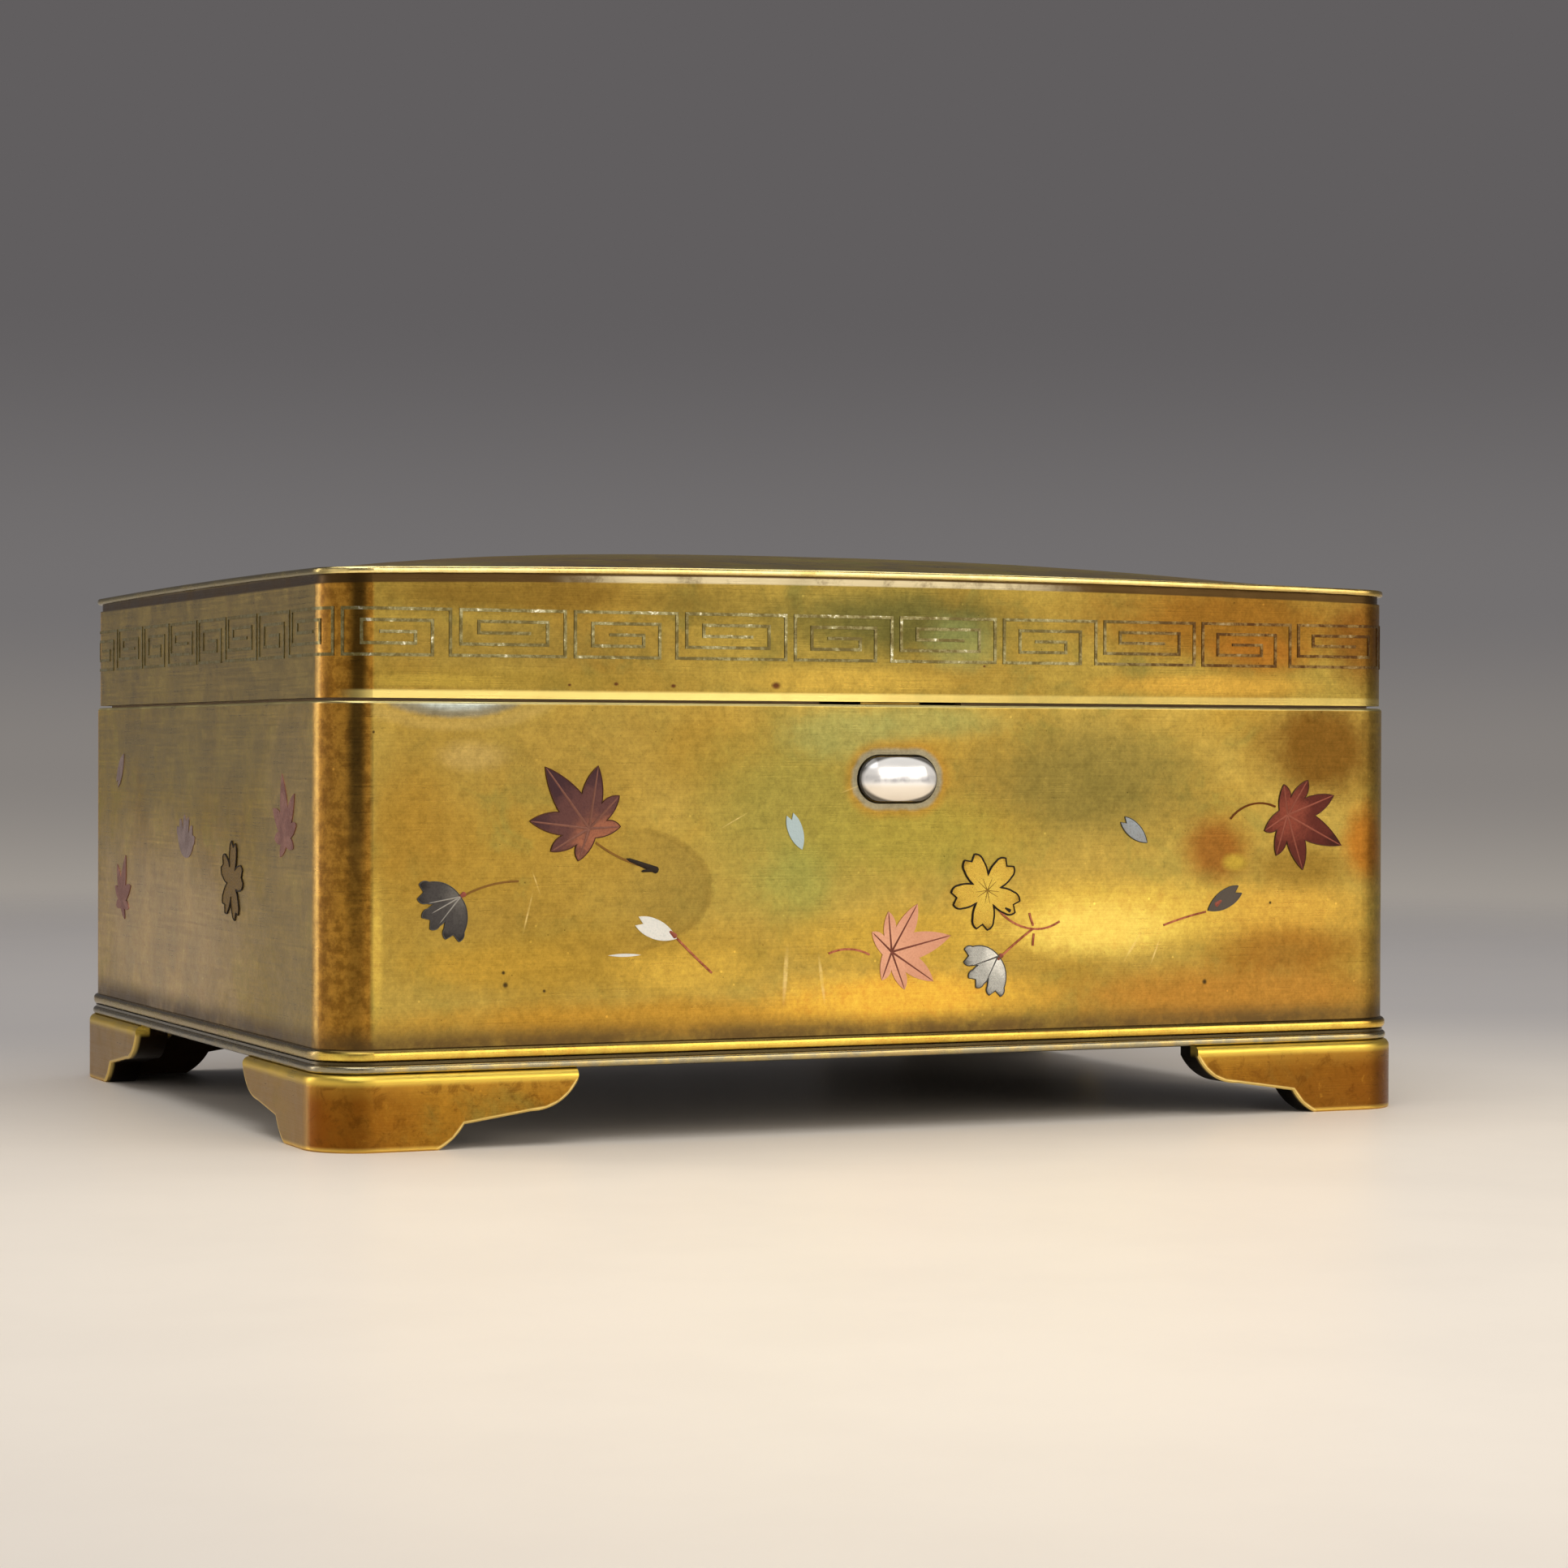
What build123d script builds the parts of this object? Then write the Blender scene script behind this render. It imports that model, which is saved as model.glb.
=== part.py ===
"""Hinged brass ink box with inlaid walls, a push-button catch and its ink-stone fittings.

Millimetres. +Z is up, the front faces -Y and the longest side runs along X.
The origin is on the table, under the middle of the box.
"""
from build123d import *
from math import cos, pi, radians, sin
import os

# ---------------------------------------------------------------- driving sizes
WIDTH = 180.0            # outside of the walls, left to right
DEPTH = 140.4            # outside of the walls, front to back
CORNER = 7.0             # outside radius of the upright corners
WALL = 1.8               # case wall
SEAM_Z = 64.7            # height of the joint between case and lid
SEAM_GAP = 0.4           # dark line left between the two
EDGE_ROUND = 0.5         # softened top edge of the case

BASE_Z = 11.1            # underside of the base plate
LIP_HEIGHT = 1.3         # lower lip of the base moulding
LIP_PROUD = 0.8
GROOVE_HEIGHT = 0.4      # shadow line between lip and bead
GROOVE_PROUD = 0.3
BEAD_HEIGHT = 1.85       # upper half-round of the base moulding
BEAD_PROUD = 0.7
MOULD_ROUND = 0.45       # rounding of lip and bead, as a share of their height
SPIGOT = 1.2             # raised floor that locates the walls

FOOT_PROUD = 1.4         # how far a foot stands out from the wall
FOOT_THICK = 5.5
FOOT_LENGTH = 39.3       # one arm, from the outer corner
FOOT_PAD = 17.8          # part of the arm that touches the table
FOOT_STEP = (21.8, 3.6)  # end of the rounded heel: along the arm, up
FOOT_UNDER = (32.0, 5.1)  # end of the slanting underside
FOOT_TIP = 9.4           # height at which the arm's nose ends
HEEL_BULGE = 0.4         # how far the heel and the nose swell from a straight line
NOSE_BULGE = 1.2
FOOT_BREAK = 0.25        # bevel along the foot's outer edges
FOOT_SHOULDER = 1.1      # rounding of the top outer edge
LUG_RADIUS = 13.0        # quarter-round lug inside the foot's corner
LUG_THICK = 3.0
LUG_HOLE = 5.5           # screw from the lug's two straight edges
FOOT_SCREW_R = 1.3
FOOT_SCREW_HEAD_R = 2.6
FOOT_SCREW_HEAD = 1.4
FOOT_SCREW_BITE = 3.0    # length of screw in the base plate
SCREW_SLOT = 0.6

LID_INSET = 0.4          # lid's walls stand this far inside the case's
LID_WALL = 1.6
LID_HEIGHT = 18.8        # from the seam to the top of the rim bead at a corner
LID_SKIN = 1.8           # thickness of the domed top
FRONT_ARCH = 1.15        # rise of the front and back edges at their middle
SIDE_ARCH = 0.36         # the same on the two short sides
CROWN = 4.5              # extra rise of the pillowed top
PILLOW_POWER = 3         # how square the pillow is
RIM_BEAD = 1.05          # height of the rim bead
RIM_PROUD = 0.5
RIM_BED = 1.2            # width of the ledge that the bead is soldered to
RIM_SINK = 0.35          # dome starts this far below the bead's top
COVE_HEIGHT = 1.2        # hollow moulding under the bead
COVE_DEPTH = 0.35

LINER = 2.4              # wooden lining boards of the case
LINER_FLOOR = 3.0
LINER_DROP = 1.0         # full-thickness lining stops this far below the seam
SEAL_RISE = 2.2          # thinner upper edge of the lining, which closes the seam
SEAL_CLEAR = 0.8         # lid's lining above that edge
LID_LINER = 2.0          # lining boards of the lid
LID_LINER_TOP = 1.8
CEILING_DROP = 4.8       # underside of the ceiling board below the rim's corner

BUTTON_DROP = 11.5       # middle of the button below the seam
BUTTON_LENGTH = 12.7
BUTTON_HEIGHT = 6.7
BUTTON_GAP = 0.15        # between the button and its recess
BUTTON_PROUD = 1.9
BUTTON_FLANK = 0.7       # straight flank of the button that shows
BUTTON_SUNK = 0.2        # back of the button behind the wall's face
RECESS_CHAMFER = 0.25
STEM_R = 1.6
STEM_NECK_R = 1.1        # stem inside its clip
CLIP_R = 2.6
CLIP_THICK = 0.6
GUIDE_LENGTH = 20.0
GUIDE_HEIGHT = 8.0
GUIDE_THICK = 1.6

CATCH_BLOCK = (12.0, 3.2, 8.0)   # brass block that carries the spring leaf
CATCH_BELOW = 17.6       # underside of that block below the button's middle
LEAF_WIDTH = 11.0
LEAF_THICK = 0.6
LEAF_DROP = 1.2          # top of the leaf below the seam
NOSE_DROP = 4.4          # underside of the nose below the seam
NOSE_HEIGHT = 1.6
NOSE_FLAT = 0.6          # blunt end of the nose
NOSE_REACH = 2.2
NOSE_WIDTH = 6.0
RIVET_R = 0.8
RIVET_HEAD_R = 1.6
RIVET_HEAD = 0.7
RIVET_BITE = 2.4
RIVET_PITCH = 6.0
KEEPER_WIDTH = 10.0
KEEPER_THICK = 0.8
KEEPER_GAP = 0.6         # keeper's tongue behind the lid wall's inner face
KEEPER_TAIL = 1.2        # metal of the tongue below its window
KEEPER_ROOT = 6.6        # height of the keeper's root on the lid wall
NOTCH_WIDTH = 24.0       # gap left in the linings for the catch
NOTCH_BELOW = 3.0        # notch reaches this far below the catch block

HINGE_LENGTH = 120.0
KNUCKLES = 5
KNUCKLE_R = 1.3
KNUCKLE_GAP = 0.2
PIN_R = 0.6
PIN_HEAD_R = 1.0
PIN_HEAD = 0.8
HINGE_OUT = 0.7          # hinge axis behind the wall's face
LEAF_PLATE = 0.7         # thickness of the hinge plates
LEAF_PLATE_HEIGHT = 4.0

INLAY = 0.12             # inlaid metal stands this far out of the wall
WIRE = 0.45              # silver wire of the fret
STEM_WIRE = 0.32         # copper wire of the stems
FRET_RISE = 6.2          # lowest wire of the fret above the seam
FRET_HEIGHT = 6.6
FRET_KEYS = {"front": 5, "right": 4, "back": 5, "left": 4}   # pairs of keys on each side
PETAL_ANGLE = 9          # degrees from the notch in a petal's end to each of its tips
SHOULDER_ANGLE = 22      # and to its shoulders
FOLDED_ANGLE = 17        # the same where the blossom is seen from its side

BOARD_WIDTH = 82.0       # middle board that holds the ink stone
BOARD_THICK = 8.0
BOARD_WELL = 4.0         # depth of its wells
STONE_WIDTH = 62.0       # its depth follows the box
STONE_HEIGHT = 14.0
STONE_ROUND = 3.0
STONE_RIM = 5.5
STONE_BEVEL = 0.5
STONE_FIELD = 2.0        # depth of the grinding field
STONE_POND = 8.0         # depth of the pond
POND_LENGTH = 14.0
POND_SLOPE = 16.0
POND_ROUND = 1.8
STONE_FROM_EDGE = 7.0    # stone to the front edge of the board
DROPPER = (38.0, 18.0, 14.0)
DROPPER_ROUND = 2.5
DROPPER_TOP_ROUND = 1.2
DROPPER_HOLE_R = 1.2
DROPPER_HOLE_DEPTH = 7.0
DROPPER_FROM_STONE = 6.0
DROPPER_FROM_BACK = 8.2  # dropper to the back edge of the board
TRAY_HEIGHT = 16.0
TRAY_WALL = 2.2
TRAY_FLOOR = 2.5
BRUSH_R = 3.4
BRUSH_TIP = 24.0
BRUSH_SPARE = 13.6       # free end of the tray beyond the brushes
BRUSH_SPACING = 11.0
BRUSH_FROM_EDGE = 1.2    # brushes and ink stick from the front wall of their tray
INK_STICK = (15.0, 62.0, 8.0)
INK_STICK_ROUND = 1.0
INK_STICK_BEVEL = 0.6

SEAT = 0.1               # gap of a board or stone that drops into its place
RUNNING = 0.05           # gap round a pin or screw
SLIDE = 0.1              # gap round the sliding stem
FREE = 0.3               # gap round the button and the lid's knuckles

# ---------------------------------------------------------------- derived places
HINGE_REACH = HINGE_OUT + KNUCKLE_R
FRONT_REACH = max(BUTTON_PROUD, FOOT_PROUD)
BACK_REACH = max(HINGE_REACH, FOOT_PROUD)
MID_Y = (FRONT_REACH - BACK_REACH) / 2
FRONT_Y = MID_Y - DEPTH / 2
BACK_Y = MID_Y + DEPTH / 2
LEFT_X, RIGHT_X = -WIDTH / 2, WIDTH / 2
BASE_TOP = BASE_Z + LIP_HEIGHT + GROOVE_HEIGHT + BEAD_HEIGHT
FLOOR_Z = BASE_TOP + SPIGOT + LINER_FLOOR
CASE_TOP = SEAM_Z - SEAM_GAP / 2
LID_BOTTOM = SEAM_Z + SEAM_GAP / 2
RIM_Z = SEAM_Z + LID_HEIGHT
CEILING_Z = RIM_Z - CEILING_DROP
BUTTON_Z = SEAM_Z - BUTTON_DROP
CATCH_BLOCK_Z = BUTTON_Z - CATCH_BELOW
NOTCH_Z = CATCH_BLOCK_Z - NOTCH_BELOW
NOSE_Z = SEAM_Z - NOSE_DROP
FRET_Z = LID_BOTTOM + FRET_RISE
HINGE_Y = BACK_Y + HINGE_OUT
LEAF_Y = FRONT_Y + WALL + CATCH_BLOCK[1]
LINING = WALL + SEAT + LINER
LID_LINING = LID_INSET + LID_WALL + SEAT
BIG = 200.0              # longer than anything it has to cut through

PANELS = {
    "front": Plane((0, FRONT_Y, 0), x_dir=(1, 0, 0), z_dir=(0, -1, 0)),
    "right": Plane((RIGHT_X, MID_Y, 0), x_dir=(0, 1, 0), z_dir=(1, 0, 0)),
    "back": Plane((0, BACK_Y, 0), x_dir=(-1, 0, 0), z_dir=(0, 1, 0)),
    "left": Plane((LEFT_X, MID_Y, 0), x_dir=(0, -1, 0), z_dir=(-1, 0, 0)),
}
HALF = {"front": WIDTH / 2, "back": WIDTH / 2, "left": DEPTH / 2, "right": DEPTH / 2}

# ---------------------------------------------------------------- helpers


def block(grow, low, high):
    """Solid with the box's rounded plan, grown by grow, between two heights."""
    plan = RectangleRounded(WIDTH + 2 * grow, DEPTH + 2 * grow, CORNER + grow)
    return extrude(Pos(0, MID_Y, low) * plan, high - low)


def span(x, y, z):
    """Box from three (low, high) pairs."""
    size = [high - low for low, high in (x, y, z)]
    centre = [(low + high) / 2 for low, high in (x, y, z)]
    return Pos(*centre) * Box(*size)


def rod_x(low, high, y, z, radius):
    return Pos((low + high) / 2, y, z) * Rot(0, 90, 0) * Cylinder(radius, high - low)


def rod_y(x, low, high, z, radius):
    return Pos(x, (low + high) / 2, z) * Rot(90, 0, 0) * Cylinder(radius, high - low)


def rod_z(x, y, low, high, radius):
    return Pos(x, y, (low + high) / 2) * Cylinder(radius, high - low)


def rounded_box(size, radius):
    """Box on the plane z = 0 with rounded upright edges."""
    length, width, height = size
    return extrude(RectangleRounded(length, width, radius), height)


def oval_y(length, height, low, high):
    """Oval bar along Y, centred on the button."""
    face = Plane((0, high, BUTTON_Z), x_dir=(1, 0, 0), z_dir=(0, -1, 0)) * SlotOverall(length, height)
    return extrude(face, high - low)


def bow(start, end, bulge):
    """Arc from start to end that bulges to the left by bulge, or to the right if negative."""
    along = Vector(*end) - Vector(*start)
    side = Vector(-along.Y, along.X).normalized()
    middle = (Vector(*start) + Vector(*end)) / 2 + side * bulge
    return ThreePointArc(start, (middle.X, middle.Y), end)


def outline(*edges):
    return make_face(Curve() + list(edges))


# ---------------------------------------------------------------- case


def base_plate():
    levels = [(LIP_HEIGHT, LIP_PROUD, True), (GROOVE_HEIGHT, GROOVE_PROUD, False), (BEAD_HEIGHT, BEAD_PROUD, True)]
    plate = None
    low = BASE_Z
    for height, proud, rounded in levels:
        layer = block(proud, low, low + height)
        if rounded:
            rings = layer.faces().filter_by(Axis.Z).edges()
            layer = fillet(rings, height * MOULD_ROUND)
        plate = layer if plate is None else plate + layer
        low += height
    plate += block(-WALL - SEAT, BASE_TOP, BASE_TOP + SPIGOT)
    for x, y in foot_screw_places():
        plate -= rod_z(x, y, BASE_Z, BASE_Z + FOOT_SCREW_BITE, FOOT_SCREW_R + RUNNING)
    return plate


def case_walls():
    walls = block(0, BASE_TOP, CASE_TOP)
    walls = fillet(walls.faces().sort_by(Axis.Z)[-1].edges(), EDGE_ROUND)
    walls -= block(-WALL, BASE_TOP, CASE_TOP)
    recess = oval_y(BUTTON_LENGTH + 2 * BUTTON_GAP, BUTTON_HEIGHT + 2 * BUTTON_GAP, FRONT_Y, FRONT_Y + WALL)
    walls -= recess
    mouth = walls.edges().filter_by_position(Axis.Y, FRONT_Y - 0.01, FRONT_Y + 0.01)
    mouth = mouth.filter_by_position(Axis.Z, BUTTON_Z - BUTTON_HEIGHT, BUTTON_Z + BUTTON_HEIGHT)
    mouth = mouth.filter_by_position(Axis.X, -BUTTON_LENGTH, BUTTON_LENGTH)
    walls = chamfer(mouth, RECESS_CHAMFER)
    return walls - hinge_groove()


def arm_profile():
    """One foot arm seen from its side, with its outer corner at the origin."""
    heel = bow((FOOT_PAD, 0), FOOT_STEP, -HEEL_BULGE)
    slant = Line(FOOT_STEP, FOOT_UNDER)
    nose = bow(FOOT_UNDER, (FOOT_LENGTH, FOOT_TIP), -NOSE_BULGE)
    top = Polyline((FOOT_LENGTH, FOOT_TIP), (FOOT_LENGTH, BASE_Z), (0, BASE_Z), (0, 0), (FOOT_PAD, 0))
    return outline(heel, slant, nose, top)


def front_left_foot():
    x0, y0 = LEFT_X - FOOT_PROUD, FRONT_Y - FOOT_PROUD
    ring = block(FOOT_PROUD, 0, BASE_Z)
    ring = fillet(ring.faces().sort_by(Axis.Z)[-1].edges(), FOOT_SHOULDER)
    inside = FOOT_PROUD - FOOT_THICK
    ring -= Pos(0, MID_Y, 0) * extrude(Rectangle(WIDTH + 2 * inside, DEPTH + 2 * inside), BASE_Z)
    front_arm = extrude(Plane((x0, y0, 0), x_dir=(1, 0, 0), z_dir=(0, -1, 0)) * arm_profile(), -FOOT_THICK)
    side_arm = extrude(Plane((x0, y0, 0), x_dir=(0, 1, 0), z_dir=(1, 0, 0)) * arm_profile(), FOOT_THICK)
    foot = ring & (front_arm + side_arm)
    foot = chamfer(foot_outline(foot), FOOT_BREAK)
    corner_x, corner_y = x0 + FOOT_THICK, y0 + FOOT_THICK
    lug = rod_z(corner_x, corner_y, BASE_Z - LUG_THICK, BASE_Z, LUG_RADIUS)
    lug &= span((corner_x, corner_x + LUG_RADIUS), (corner_y, corner_y + LUG_RADIUS), (0, BASE_Z))
    foot += lug
    x, y = foot_screw_places()[0]
    return foot - rod_z(x, y, 0, BASE_Z, FOOT_SCREW_R + RUNNING)


def foot_outline(foot):
    """Lower edges of the foot's outer face."""
    def outside(edge):
        ends = [edge @ 0, edge @ 0.5, edge @ 1]
        faces = [(LEFT_X - FOOT_PROUD, "X"), (FRONT_Y - FOOT_PROUD, "Y")]
        flush = any(all(abs(getattr(p, axis) - level) < 0.01 for p in ends) for level, axis in faces)
        round_end = all(p.Z < 0.01 for p in ends) and (edge @ 0.5).X < LEFT_X - FOOT_PROUD + CORNER
        level = max(p.Z for p in ends) < BASE_Z - FOOT_SHOULDER
        return level and (flush or (round_end and edge.geom_type == GeomType.CIRCLE))
    return foot.edges().filter_by(outside)


def foot_screw_places():
    """Screw centres, front left first."""
    inset = FOOT_THICK - FOOT_PROUD + LUG_HOLE
    return [(sx * (WIDTH / 2 - inset), MID_Y + sy * (DEPTH / 2 - inset)) for sx in (-1, 1) for sy in (-1, 1)]


def feet():
    first = front_left_foot()
    across = Plane((0, MID_Y, 0), x_dir=(1, 0, 0), z_dir=(0, 1, 0))
    back_left = mirror(first, across)
    return {
        "foot_front_left": first,
        "foot_front_right": mirror(first, Plane.YZ),
        "foot_back_left": back_left,
        "foot_back_right": mirror(back_left, Plane.YZ),
    }


def foot_screws():
    screws = []
    under = BASE_Z - LUG_THICK
    for x, y in foot_screw_places():
        head = rod_z(x, y, under - FOOT_SCREW_HEAD, under, FOOT_SCREW_HEAD_R)
        head = fillet(head.edges().sort_by(Axis.Z)[0], FOOT_SCREW_HEAD / 2)
        groove = span((x - BIG, x + BIG), (y - SCREW_SLOT / 2, y + SCREW_SLOT / 2), (0, under - FOOT_SCREW_HEAD / 2))
        screws.append(head + rod_z(x, y, under, BASE_Z + FOOT_SCREW_BITE, FOOT_SCREW_R) - groove)
    return Compound(screws)


def lining(name, outer, thick, low, high):
    """Four boards that line the walls; the long boards run through, the short ones butt."""
    room = block(-outer, low, high)
    x, y = WIDTH / 2 - outer, DEPTH / 2 - outer
    long_x = (-x, x)
    short_y = (MID_Y - y + thick, MID_Y + y - thick)
    boards = {
        "front": span(long_x, (MID_Y - y, MID_Y - y + thick), (low, high)),
        "back": span(long_x, (MID_Y + y - thick, MID_Y + y), (low, high)),
        "left": span((-x, -x + thick), short_y, (low, high)),
        "right": span((x - thick, x), short_y, (low, high)),
    }
    return {name + side: board & room for side, board in boards.items()}


def case_lining():
    boards = lining("liner_", WALL + SEAT, LINER, FLOOR_Z, CASE_TOP - LINER_DROP)
    outer = LID_LINING + FREE
    edges = lining("liner_", outer, LINING - outer, CASE_TOP - LINER_DROP, CASE_TOP + SEAL_RISE)
    boards = {name: board + edges[name] for name, board in boards.items()}
    notch = span((-NOTCH_WIDTH / 2, NOTCH_WIDTH / 2), (FRONT_Y, FRONT_Y + LINING), (NOTCH_Z, SEAM_Z + BIG))
    boards["liner_front"] -= notch
    boards["liner_floor"] = block(-WALL - SEAT, FLOOR_Z - LINER_FLOOR, FLOOR_Z)
    return boards


# ---------------------------------------------------------------- lid


def rim_height(x, y):
    """Top of the rim bead: gently arched along every side."""
    across, along = x / (WIDTH / 2), (y - MID_Y) / (DEPTH / 2)
    return RIM_Z + FRONT_ARCH * (1 - across**2) + SIDE_ARCH * (1 - along**2)


def dome_height(x, y):
    """Top of the lid: the rim's arch with a pillow raised on it."""
    across, along = x / (WIDTH / 2), (y - MID_Y) / (DEPTH / 2)
    return rim_height(x, y) - RIM_SINK + CROWN * (1 - abs(across) ** PILLOW_POWER) * (1 - abs(along) ** PILLOW_POWER)


def under(height, drop, low):
    """Everything between the level low and a curved surface lowered by drop."""
    steps = 12
    reach_x, reach_y = WIDTH / 2 + 2, DEPTH / 2 + 2
    rows = []
    for i in range(steps + 1):
        x = reach_x * (2 * i / steps - 1)
        ys = [MID_Y + reach_y * (2 * j / steps - 1) for j in range(steps + 1)]
        rows.append([Vector(x, y, height(x, y) - drop) for y in ys])
    sheet = Face.make_surface_from_array_of_points(rows, tol=0.001)
    body = Solid.extrude(sheet, Vector(0, 0, -BIG))
    return body & span((-BIG, BIG), (-BIG, BIG), (low, BIG))


def rim_band(drop, height, outer, inner):
    """Ring along the arched edge, from drop below the rim down by height.

    outer is measured out of the lid's wall face and inner into it.
    """
    ring = block(outer - LID_INSET, SEAM_Z, RIM_Z + BIG / 4)
    ring -= block(-inner - LID_INSET, SEAM_Z, RIM_Z + BIG / 4)
    return (ring & under(rim_height, drop, SEAM_Z)) - under(rim_height, drop + height, 0)


def lid_shell():
    shell = block(-LID_INSET, LID_BOTTOM, RIM_Z + BIG / 4) & under(dome_height, 0, LID_BOTTOM)
    inside = block(-LID_INSET - LID_WALL, 0, RIM_Z + BIG / 4) & under(dome_height, LID_SKIN, 0)
    shell -= inside
    shell -= rim_band(-BIG / 10, RIM_BEAD + BIG / 10, RIM_PROUD, RIM_BED)
    shell -= rim_band(RIM_BEAD, COVE_HEIGHT, RIM_PROUD, COVE_DEPTH)
    return shell - hinge_groove()


def lid_rim():
    bead = rim_band(0, RIM_BEAD, RIM_PROUD, RIM_BED)
    outer = bead.edges().filter_by(lambda e: is_outer_rim(e))
    return fillet(outer, RIM_BEAD * 0.4)


def is_outer_rim(edge):
    """True for the bead's long outer edges, not the short upright ones."""
    box = edge.bounding_box()
    if box.size.Z > RIM_BEAD * 0.9 and max(box.size.X, box.size.Y) < 0.1:
        return False
    middle = edge @ 0.5
    bed = LID_INSET + RIM_BED / 2
    if abs(middle.X) > WIDTH / 2 - bed or abs(middle.Y - MID_Y) > DEPTH / 2 - bed:
        return True
    corner = Vector(abs(middle.X) - WIDTH / 2 + CORNER, abs(middle.Y - MID_Y) - DEPTH / 2 + CORNER)
    return corner.X > 0 and corner.Y > 0 and corner.length > CORNER - bed


def lid_lining():
    boards = lining("lid_liner_", LID_LINING, LID_LINER, CASE_TOP + SEAL_RISE + SEAL_CLEAR, CEILING_Z)
    notch_z = (LID_BOTTOM, LID_BOTTOM + KEEPER_ROOT + FREE)
    notch = span((-NOTCH_WIDTH / 2, NOTCH_WIDTH / 2), (FRONT_Y, FRONT_Y + LID_LINING + LID_LINER), notch_z)
    boards["lid_liner_front"] -= notch
    boards["lid_liner_top"] = block(-LID_LINING, CEILING_Z, CEILING_Z + LID_LINER_TOP)
    return boards


# ---------------------------------------------------------------- hinge


def hinge_groove():
    """Room for the knuckles in the walls' edges."""
    half = HINGE_LENGTH / 2 + PIN_HEAD + FREE
    return rod_x(-half, half, HINGE_Y, SEAM_Z, KNUCKLE_R + FREE)


def hinge_half(turn, side):
    """Plate with every second knuckle; side is -1 below the seam and 1 above it."""
    pitch = HINGE_LENGTH / KNUCKLES
    clear = KNUCKLE_R + FREE
    near, far = SEAM_Z + side * clear, SEAM_Z + side * (clear + LEAF_PLATE_HEIGHT)
    wall_y = BACK_Y if side < 0 else BACK_Y - LID_INSET
    plate_y = (wall_y, wall_y + LEAF_PLATE)
    half = span((-HINGE_LENGTH / 2, HINGE_LENGTH / 2), plate_y, (min(near, far), max(near, far)))
    for i in range(turn, KNUCKLES, 2):
        low = -HINGE_LENGTH / 2 + i * pitch + (KNUCKLE_GAP / 2 if i else 0)
        high = -HINGE_LENGTH / 2 + (i + 1) * pitch - (KNUCKLE_GAP / 2 if i < KNUCKLES - 1 else 0)
        half += rod_x(low, high, HINGE_Y, SEAM_Z, KNUCKLE_R)
        half += span((low, high), plate_y, (min(near, SEAM_Z), max(near, SEAM_Z)))
    return half - rod_x(-BIG, BIG, HINGE_Y, SEAM_Z, PIN_R + RUNNING)


def hinge_pin():
    end = HINGE_LENGTH / 2 + RUNNING
    pin = rod_x(-end, end, HINGE_Y, SEAM_Z, PIN_R)
    for sign in (-1, 1):
        ends = sorted((sign * end, sign * (end + PIN_HEAD)))
        head = rod_x(*ends, HINGE_Y, SEAM_Z, PIN_HEAD_R)
        rim = head.edges().filter_by(GeomType.CIRCLE).sort_by(Axis.X)[0 if sign < 0 else -1]
        pin += fillet(rim, PIN_HEAD / 2)
    return pin


# ---------------------------------------------------------------- button and catch


def push_button():
    """Oval cabochon with a short straight flank."""
    flank_front = FRONT_Y - BUTTON_FLANK
    flank = oval_y(BUTTON_LENGTH, BUTTON_HEIGHT, flank_front, FRONT_Y + BUTTON_SUNK)
    radius = BUTTON_HEIGHT / 2
    dome = BUTTON_PROUD - BUTTON_FLANK
    sphere = (radius**2 + dome**2) / (2 * dome)
    run = BUTTON_LENGTH - BUTTON_HEIGHT
    centre_y = flank_front - dome + sphere
    ball = Sphere(sphere)
    cap = rod_x(-run / 2, run / 2, centre_y, BUTTON_Z, sphere)
    for x in (-run / 2, run / 2):
        cap += Pos(x, centre_y, BUTTON_Z) * ball
    cap &= oval_y(BUTTON_LENGTH, BUTTON_HEIGHT, FRONT_Y - BUTTON_PROUD - 1, flank_front)
    button = flank + cap
    return button - rod_y(0, FRONT_Y - BUTTON_FLANK, FRONT_Y + BUTTON_SUNK, BUTTON_Z, STEM_R)


def button_stem():
    """Pin from the button through the wall to the spring leaf, grooved for its clip."""
    stem = rod_y(0, FRONT_Y - BUTTON_FLANK, LEAF_Y - SLIDE, BUTTON_Z, STEM_R)
    back = clip_front()
    groove = rod_y(0, back, back + CLIP_THICK, BUTTON_Z, STEM_R)
    return stem - (groove - rod_y(0, back, back + CLIP_THICK, BUTTON_Z, STEM_NECK_R))


def clip_front():
    return FRONT_Y + WALL + GUIDE_THICK + SLIDE


def stem_clip():
    """Spring clip that keeps the button from falling out."""
    back = clip_front()
    clip = rod_y(0, back, back + CLIP_THICK, BUTTON_Z, CLIP_R)
    clip -= rod_y(0, back, back + CLIP_THICK, BUTTON_Z, STEM_NECK_R)
    return clip - span((-STEM_NECK_R, STEM_NECK_R), (back, back + CLIP_THICK), (BUTTON_Z - CLIP_R, BUTTON_Z))


def button_guide():
    guide = oval_y(GUIDE_LENGTH, GUIDE_HEIGHT, FRONT_Y + WALL, FRONT_Y + WALL + GUIDE_THICK)
    return guide - rod_y(0, FRONT_Y, FRONT_Y + LINING, BUTTON_Z, STEM_R + SLIDE)


def rivet_places():
    low = CATCH_BLOCK_Z + CATCH_BLOCK[2] / 2
    return [(-RIVET_PITCH / 2, low), (RIVET_PITCH / 2, low)]


def catch_block():
    width, thick, height = CATCH_BLOCK
    block_y = (FRONT_Y + WALL, FRONT_Y + WALL + thick)
    body = span((-width / 2, width / 2), block_y, (CATCH_BLOCK_Z, CATCH_BLOCK_Z + height))
    for x, z in rivet_places():
        body -= rod_y(x, LEAF_Y - RIVET_BITE, LEAF_Y, z, RIVET_R + RUNNING)
    return body


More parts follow.
